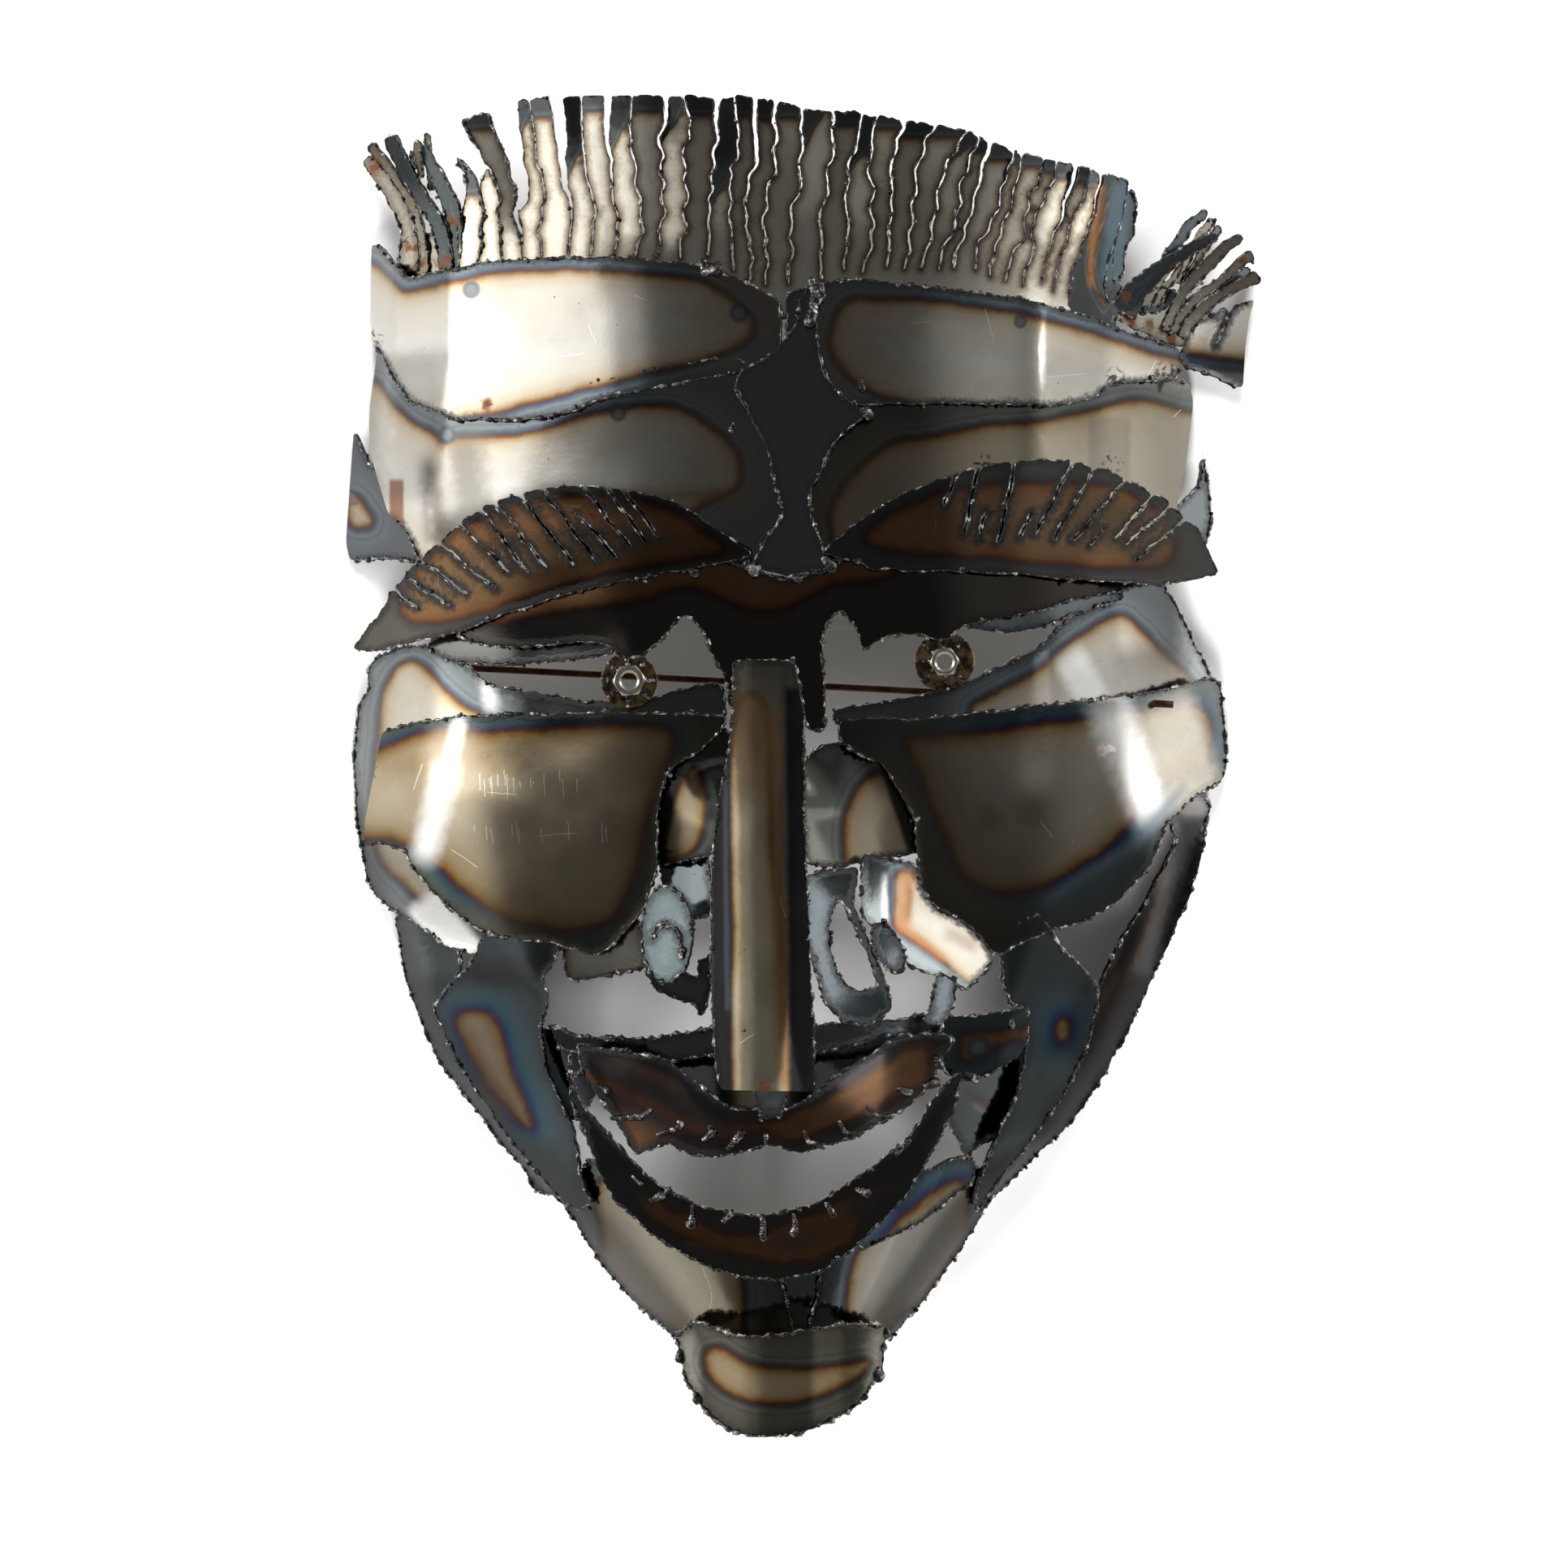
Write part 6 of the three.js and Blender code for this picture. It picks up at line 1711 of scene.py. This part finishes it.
def makeEye(side, washer, across, seed):
    # A welded washer of a given radius, and a nut of a given width across its flats
    low, high = (np.array(list(end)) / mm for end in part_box("eye_washer_" + side))
    centre = (low + high)[:2] / 2
    top, bottom = high[2], low[2]
    bore = 3.7
    edge = 0.35
    segments, nutSegments = 48, 72
    weldChains, weldsInChain = 8, 3
    profile = [
        (bore, bottom + 0.2), (bore + 0.2, bottom), (washer - edge, bottom), (washer - 0.05, bottom + edge),
        (washer - 0.05, top - edge), (washer - edge, top), (bore + 0.2, top), (bore, top - 0.2),
    ]
    chance = random.Random(seed)
    bumps = [chance.uniform(-0.35, 0.05) for _ in range(segments)]

    def ragged(step, radius, height, angle):
        if radius < washer - 1:
            return radius, height
        return radius + bumps[int(round(angle / (2 * np.pi) * segments)) % segments], height

    points, faces = ringPart(centre, profile, segments, ragged)
    # Weld blobs between the nut and the washer
    parts = [{"points": points, "faces": faces, "kinds": [0] * len(faces)}]
    for number in range(weldChains):
        angle = 2 * np.pi * (number + chance.uniform(-0.18, 0.18)) / weldChains
        for step in range(weldsInChain):
            reach = across / 2 + 0.4 + step * (washer - across / 2 - 1.6) / 2
            size = chance.uniform(0.8, 1.45)
            parts.append(blob((centre[0] + reach * math.cos(angle), centre[1] + reach * math.sin(angle),
                               top + size * 0.2), size, seed * 20 + number * weldsInChain + step))
    plate = {"node": "eye_washer_" + side, "slot": "zinc_steel", "crease": 40}
    pieceFrom(plate, parts, [goldSteel, melted])

    low, high = (np.array(list(end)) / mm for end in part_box("eye_nut_" + side))
    bottom, top = low[2], high[2]
    flat = across / 2
    profile = [(bore, bottom + 0.5), (bore + 0.5, bottom), (flat, bottom), (flat, bottom + 0.6),
               (flat, top - 1.0), (flat * 0.97, top), (bore + 0.7, top)]
    turns = 7
    nutTurn = 0.1
    for turn in range(turns):
        height = top - 0.7 - (top - bottom - 1.4) * turn / turns
        profile += [(bore - 0.25, height), (bore + 0.1, height - 0.3)]

    def hexagon(step, radius, height, angle):
        if 2 <= step <= 4:
            aside = (angle - nutTurn) % (math.pi / 3) - math.pi / 6
            reach = flat / math.cos(aside)
            if step == 4:
                return reach * 0.995, top - 0.15 - (reach - flat) * 0.62
            return reach * 0.995, height
        return radius, height

    points, faces = ringPart(centre, profile, nutSegments, hexagon)
    simplePiece("nut" + side.title(), "eye_nut_" + side, points, faces, zincSteel, False)


makeEye("left", 12.4, 12.7, 3)
makeEye("right", 13.2, 11.4, 5)

rodStart, rodEnd = toMillimetres([(470, 817), (1490, 870)])
rodHeight, rodRadius = 66 + solidRise, 1.55
rodAcross = np.array([rodStart[1] - rodEnd[1], rodEnd[0] - rodStart[0]])
rodAcross = rodAcross / np.linalg.norm(rodAcross)
rodPoints, rodFaces = [], []
rodSteps, rodSides = 60, 14
rodFrom, rodTo = 0.078, 0.958  # the rod ends inside the cheek plates
for step in range(rodSteps + 1):
    place = rodStart + (rodEnd - rodStart) * (rodFrom + (rodTo - rodFrom) * step / rodSteps)
    for side in range(rodSides):
        angle = 2 * math.pi * side / rodSides
        reach = rodRadius * (1 + 0.03 * noise.noise((step * 0.4, side * 0.5, 3)))
        rodPoints.append((place[0] + rodAcross[0] * reach * math.cos(angle),
                          place[1] + rodAcross[1] * reach * math.cos(angle),
                          rodHeight + reach * math.sin(angle)))
for step in range(rodSteps):
    for side in range(rodSides):
        beside = (side + 1) % rodSides
        rodFaces.append((step * rodSides + side, (step + 1) * rodSides + side,
                         (step + 1) * rodSides + beside, step * rodSides + beside))
rodFaces += [tuple(range(rodSides)), tuple(range(len(rodPoints) - 1, len(rodPoints) - rodSides - 1, -1))]
simplePiece("hangingRod", "hanging_rod", rodPoints, rodFaces, rodSteel)
print("eyes and rod done")


# Floor, light and camera
floorMesh = bpy.data.meshes.new("floor")
floorReach = 6.0
floorMesh.from_pydata([(-floorReach, -floorReach, 0), (floorReach, -floorReach, 0),
                       (floorReach, floorReach, 0), (-floorReach, floorReach, 0)], [], [(0, 1, 2, 3)])
floor = bpy.data.objects.new("floor", floorMesh)
bpy.context.scene.collection.objects.link(floor)
floor.visible_glossy = False
floorMaterial, _, floorShader = newMaterial("paleFloor")
connect(floorShader, colour=(0.80, 0.80, 0.80, 1), rough=0.9)
floorShader.inputs["Emission Color"].default_value = (1, 1, 1, 1)
floorShader.inputs["Emission Strength"].default_value = 0.01
floorMesh.materials.append(floorMaterial)


def addLamp(name, place, aim, size, power):
    # A soft box of light at a place, turned to an aim
    lamp = bpy.data.lights.new(name, "AREA")
    lamp.shape = "RECTANGLE"
    lamp.size, lamp.size_y = size
    lamp.energy = power
    holder = bpy.data.objects.new(name, lamp)
    holder.location = place
    holder.rotation_euler = (Vector(aim) - Vector(place)).to_track_quat("-Z", "Y").to_euler()
    bpy.context.scene.collection.objects.link(holder)
    return holder


# Soft lamps round the table light the floor alone, as the sheets only show the room
lampAside, lampHeight, lampSize, lampPower = 1.28, 2.2, 0.8, 66
for side in (-1, 1):
    place = (0, lampAside * side, lampHeight)
    tableLamp = addLamp("tableLamp", place, (0, 0, 0), (lampSize, lampSize), lampPower)
    tableLamp.visible_glossy = False
    tableLamp.visible_camera = False


# Small cards that only the flat plate under each of them mirrors
def addCard(name, node, place, size, heading, shine):
    x, y = toMillimetres([place])[0] * mm
    reach = 0.16
    spot = Vector((x, y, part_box(node)[1].z))
    ahead = Vector(heading).normalized()
    width, depth = size[0] * traceUnit * mm, size[1] * traceUnit * mm
    card = addLamp(name, spot + ahead * reach, spot, (width, depth), shine * math.pi * width * depth)
    card.visible_camera = False
    card.visible_diffuse = False


addCard("cornerCard", "corner_plate", (1478, 405), (70, 100), (0.16, 0.07, 0.98), 4.0)
addCard("wingCard", "nostril_right_wing", (1135, 1140), (200, 190), (0.135, -0.10, 0.98), 1.9)
addCard("tuftCard", "hair_right_tuft", (1480, 330), (150, 150), (0.40, 0.0, 0.90), 0.7)


# The room: soft panels that the sheets mirror, by the direction that a ray leaves in
world = bpy.data.worlds.new("studio")
world.use_nodes = True
bpy.context.scene.world = world
studio = Wire(world.node_tree)
heading = studio.node("ShaderNodeTexCoord")
east = studio.node("ShaderNodeSeparateXYZ", {}, {0: heading}, out=0)
north = studio.node("ShaderNodeSeparateXYZ", {}, {0: heading}, out=1)
above = studio.node("ShaderNodeSeparateXYZ", {}, {0: heading}, out=2)
west = 0 - east
south = 0 - north
room = above.between(0.30, 0.75, 0.16, 0.0) + 0.11
# The white table, which only the rounded edges mirror
table = above.between(-0.85, -0.65, 0.8, 0.0) * north.between(-0.10, 0.05)
# A tall soft box high on the left, which the forehead and the lower hair mirror
leftEdge = north + west * 0.25 - 0.125
leftBox = (west.between(0.42, 0.47) * leftEdge.between(0.09, 0.15) * north.between(0.42, 0.52, 1.0, 0.0)
           * above.between(-0.20, 0.10) * 1.9)
leftApron = (west.between(0.20, 0.34) * west.between(0.42, 0.47, 1.0, 0.0) * leftEdge.between(0.06, 0.12)
             * north.between(0.42, 0.52, 1.0, 0.0) * 0.45)
# The bright wall on the left and the lit table on the right
leftWall = (west.between(0.45, 0.85) * above.between(0.15, 0.50, 1.0, 0.0)
            * south.between(0.10, 0.26, 1.0, 0.0) * north.between(0.06, 0.22, 1.0, 0.40) * 1.2)
rightTable = (east.between(0.35, 0.70) * south.between(0.10, 0.22, 1.0, 0.0)
              * north.between(0.0, 0.07, 1.0, 0.25) * above.between(-0.10, 0.12, 1.0, 0.0) * 1.8)
rightRoom = east.between(0.15, 1.0) * north.between(0.0, 0.14) * above.between(-0.6, 0.0) * 0.65
rightBox = (east.between(0.72, 0.92) * north.between(0.19, 0.25) * north.between(0.38, 0.46, 1.0, 0.0)
            * above.between(0.0, 0.2) * 1.9)
rightCard = (east.between(0.56, 0.64) * east.between(0.74, 0.84, 1.0, 0.0) * north.between(0.03, 0.06)
             * north.between(0.05, 0.08, 1.0, 0.0) * above.between(0.0, 0.2) * 1.9)
chinGlow = south.between(0.40, 0.58) * above.between(0.35, 0.65, 1.0, 0.0) * 0.26
leftChinGlow = west.between(0.6, 0.9) * south.between(0.2, 0.32) * above.between(0.1, 0.4, 1.0, 0.0) * 0.25
rightChinGlow = (east.between(0.5, 0.7) * south.between(0.34, 0.44)
                 * above.between(-0.2, 0.1, 1.0, 0.0) * 0.30)
noseGlow = north.between(0.36, 0.44) * above.between(0.70, 0.80) * west.between(-0.35, -0.25) * 0.14
lowRight = east.between(0.1, 0.4) * above.between(-0.2, 0.05, 0.5, 0.0) * south.between(0.1, 0.2)
light = room + leftBox + leftApron + leftWall + rightTable + rightRoom + rightBox + rightCard
light = light + chinGlow + leftChinGlow + rightChinGlow + noseGlow
light = light * (1.0 - lowRight) + table
background = world.node_tree.nodes["Background"]
background.inputs[0].default_value = (1, 0.99, 0.97, 1)
world.node_tree.links.new(light.socket, background.inputs[1])

# A long lens straight above, framed as the photograph is
photoPixels = 1932
frameMiddle = toMillimetres([(photoPixels / 2, photoPixels / 2)])[0] * mm
frameWidth = photoPixels * traceUnit * mm
lens, sensor = 400.0, 36.0
faceHeight = 0.09
cameraData = bpy.data.cameras.new("camera")
cameraData.lens = lens
cameraData.sensor_width = sensor
camera = bpy.data.objects.new("camera", cameraData)
camera.location = (frameMiddle[0], frameMiddle[1], faceHeight + frameWidth * lens / sensor)
bpy.context.scene.collection.objects.link(camera)
bpy.context.scene.camera = camera
bpy.context.scene.view_settings.view_transform = "Standard"
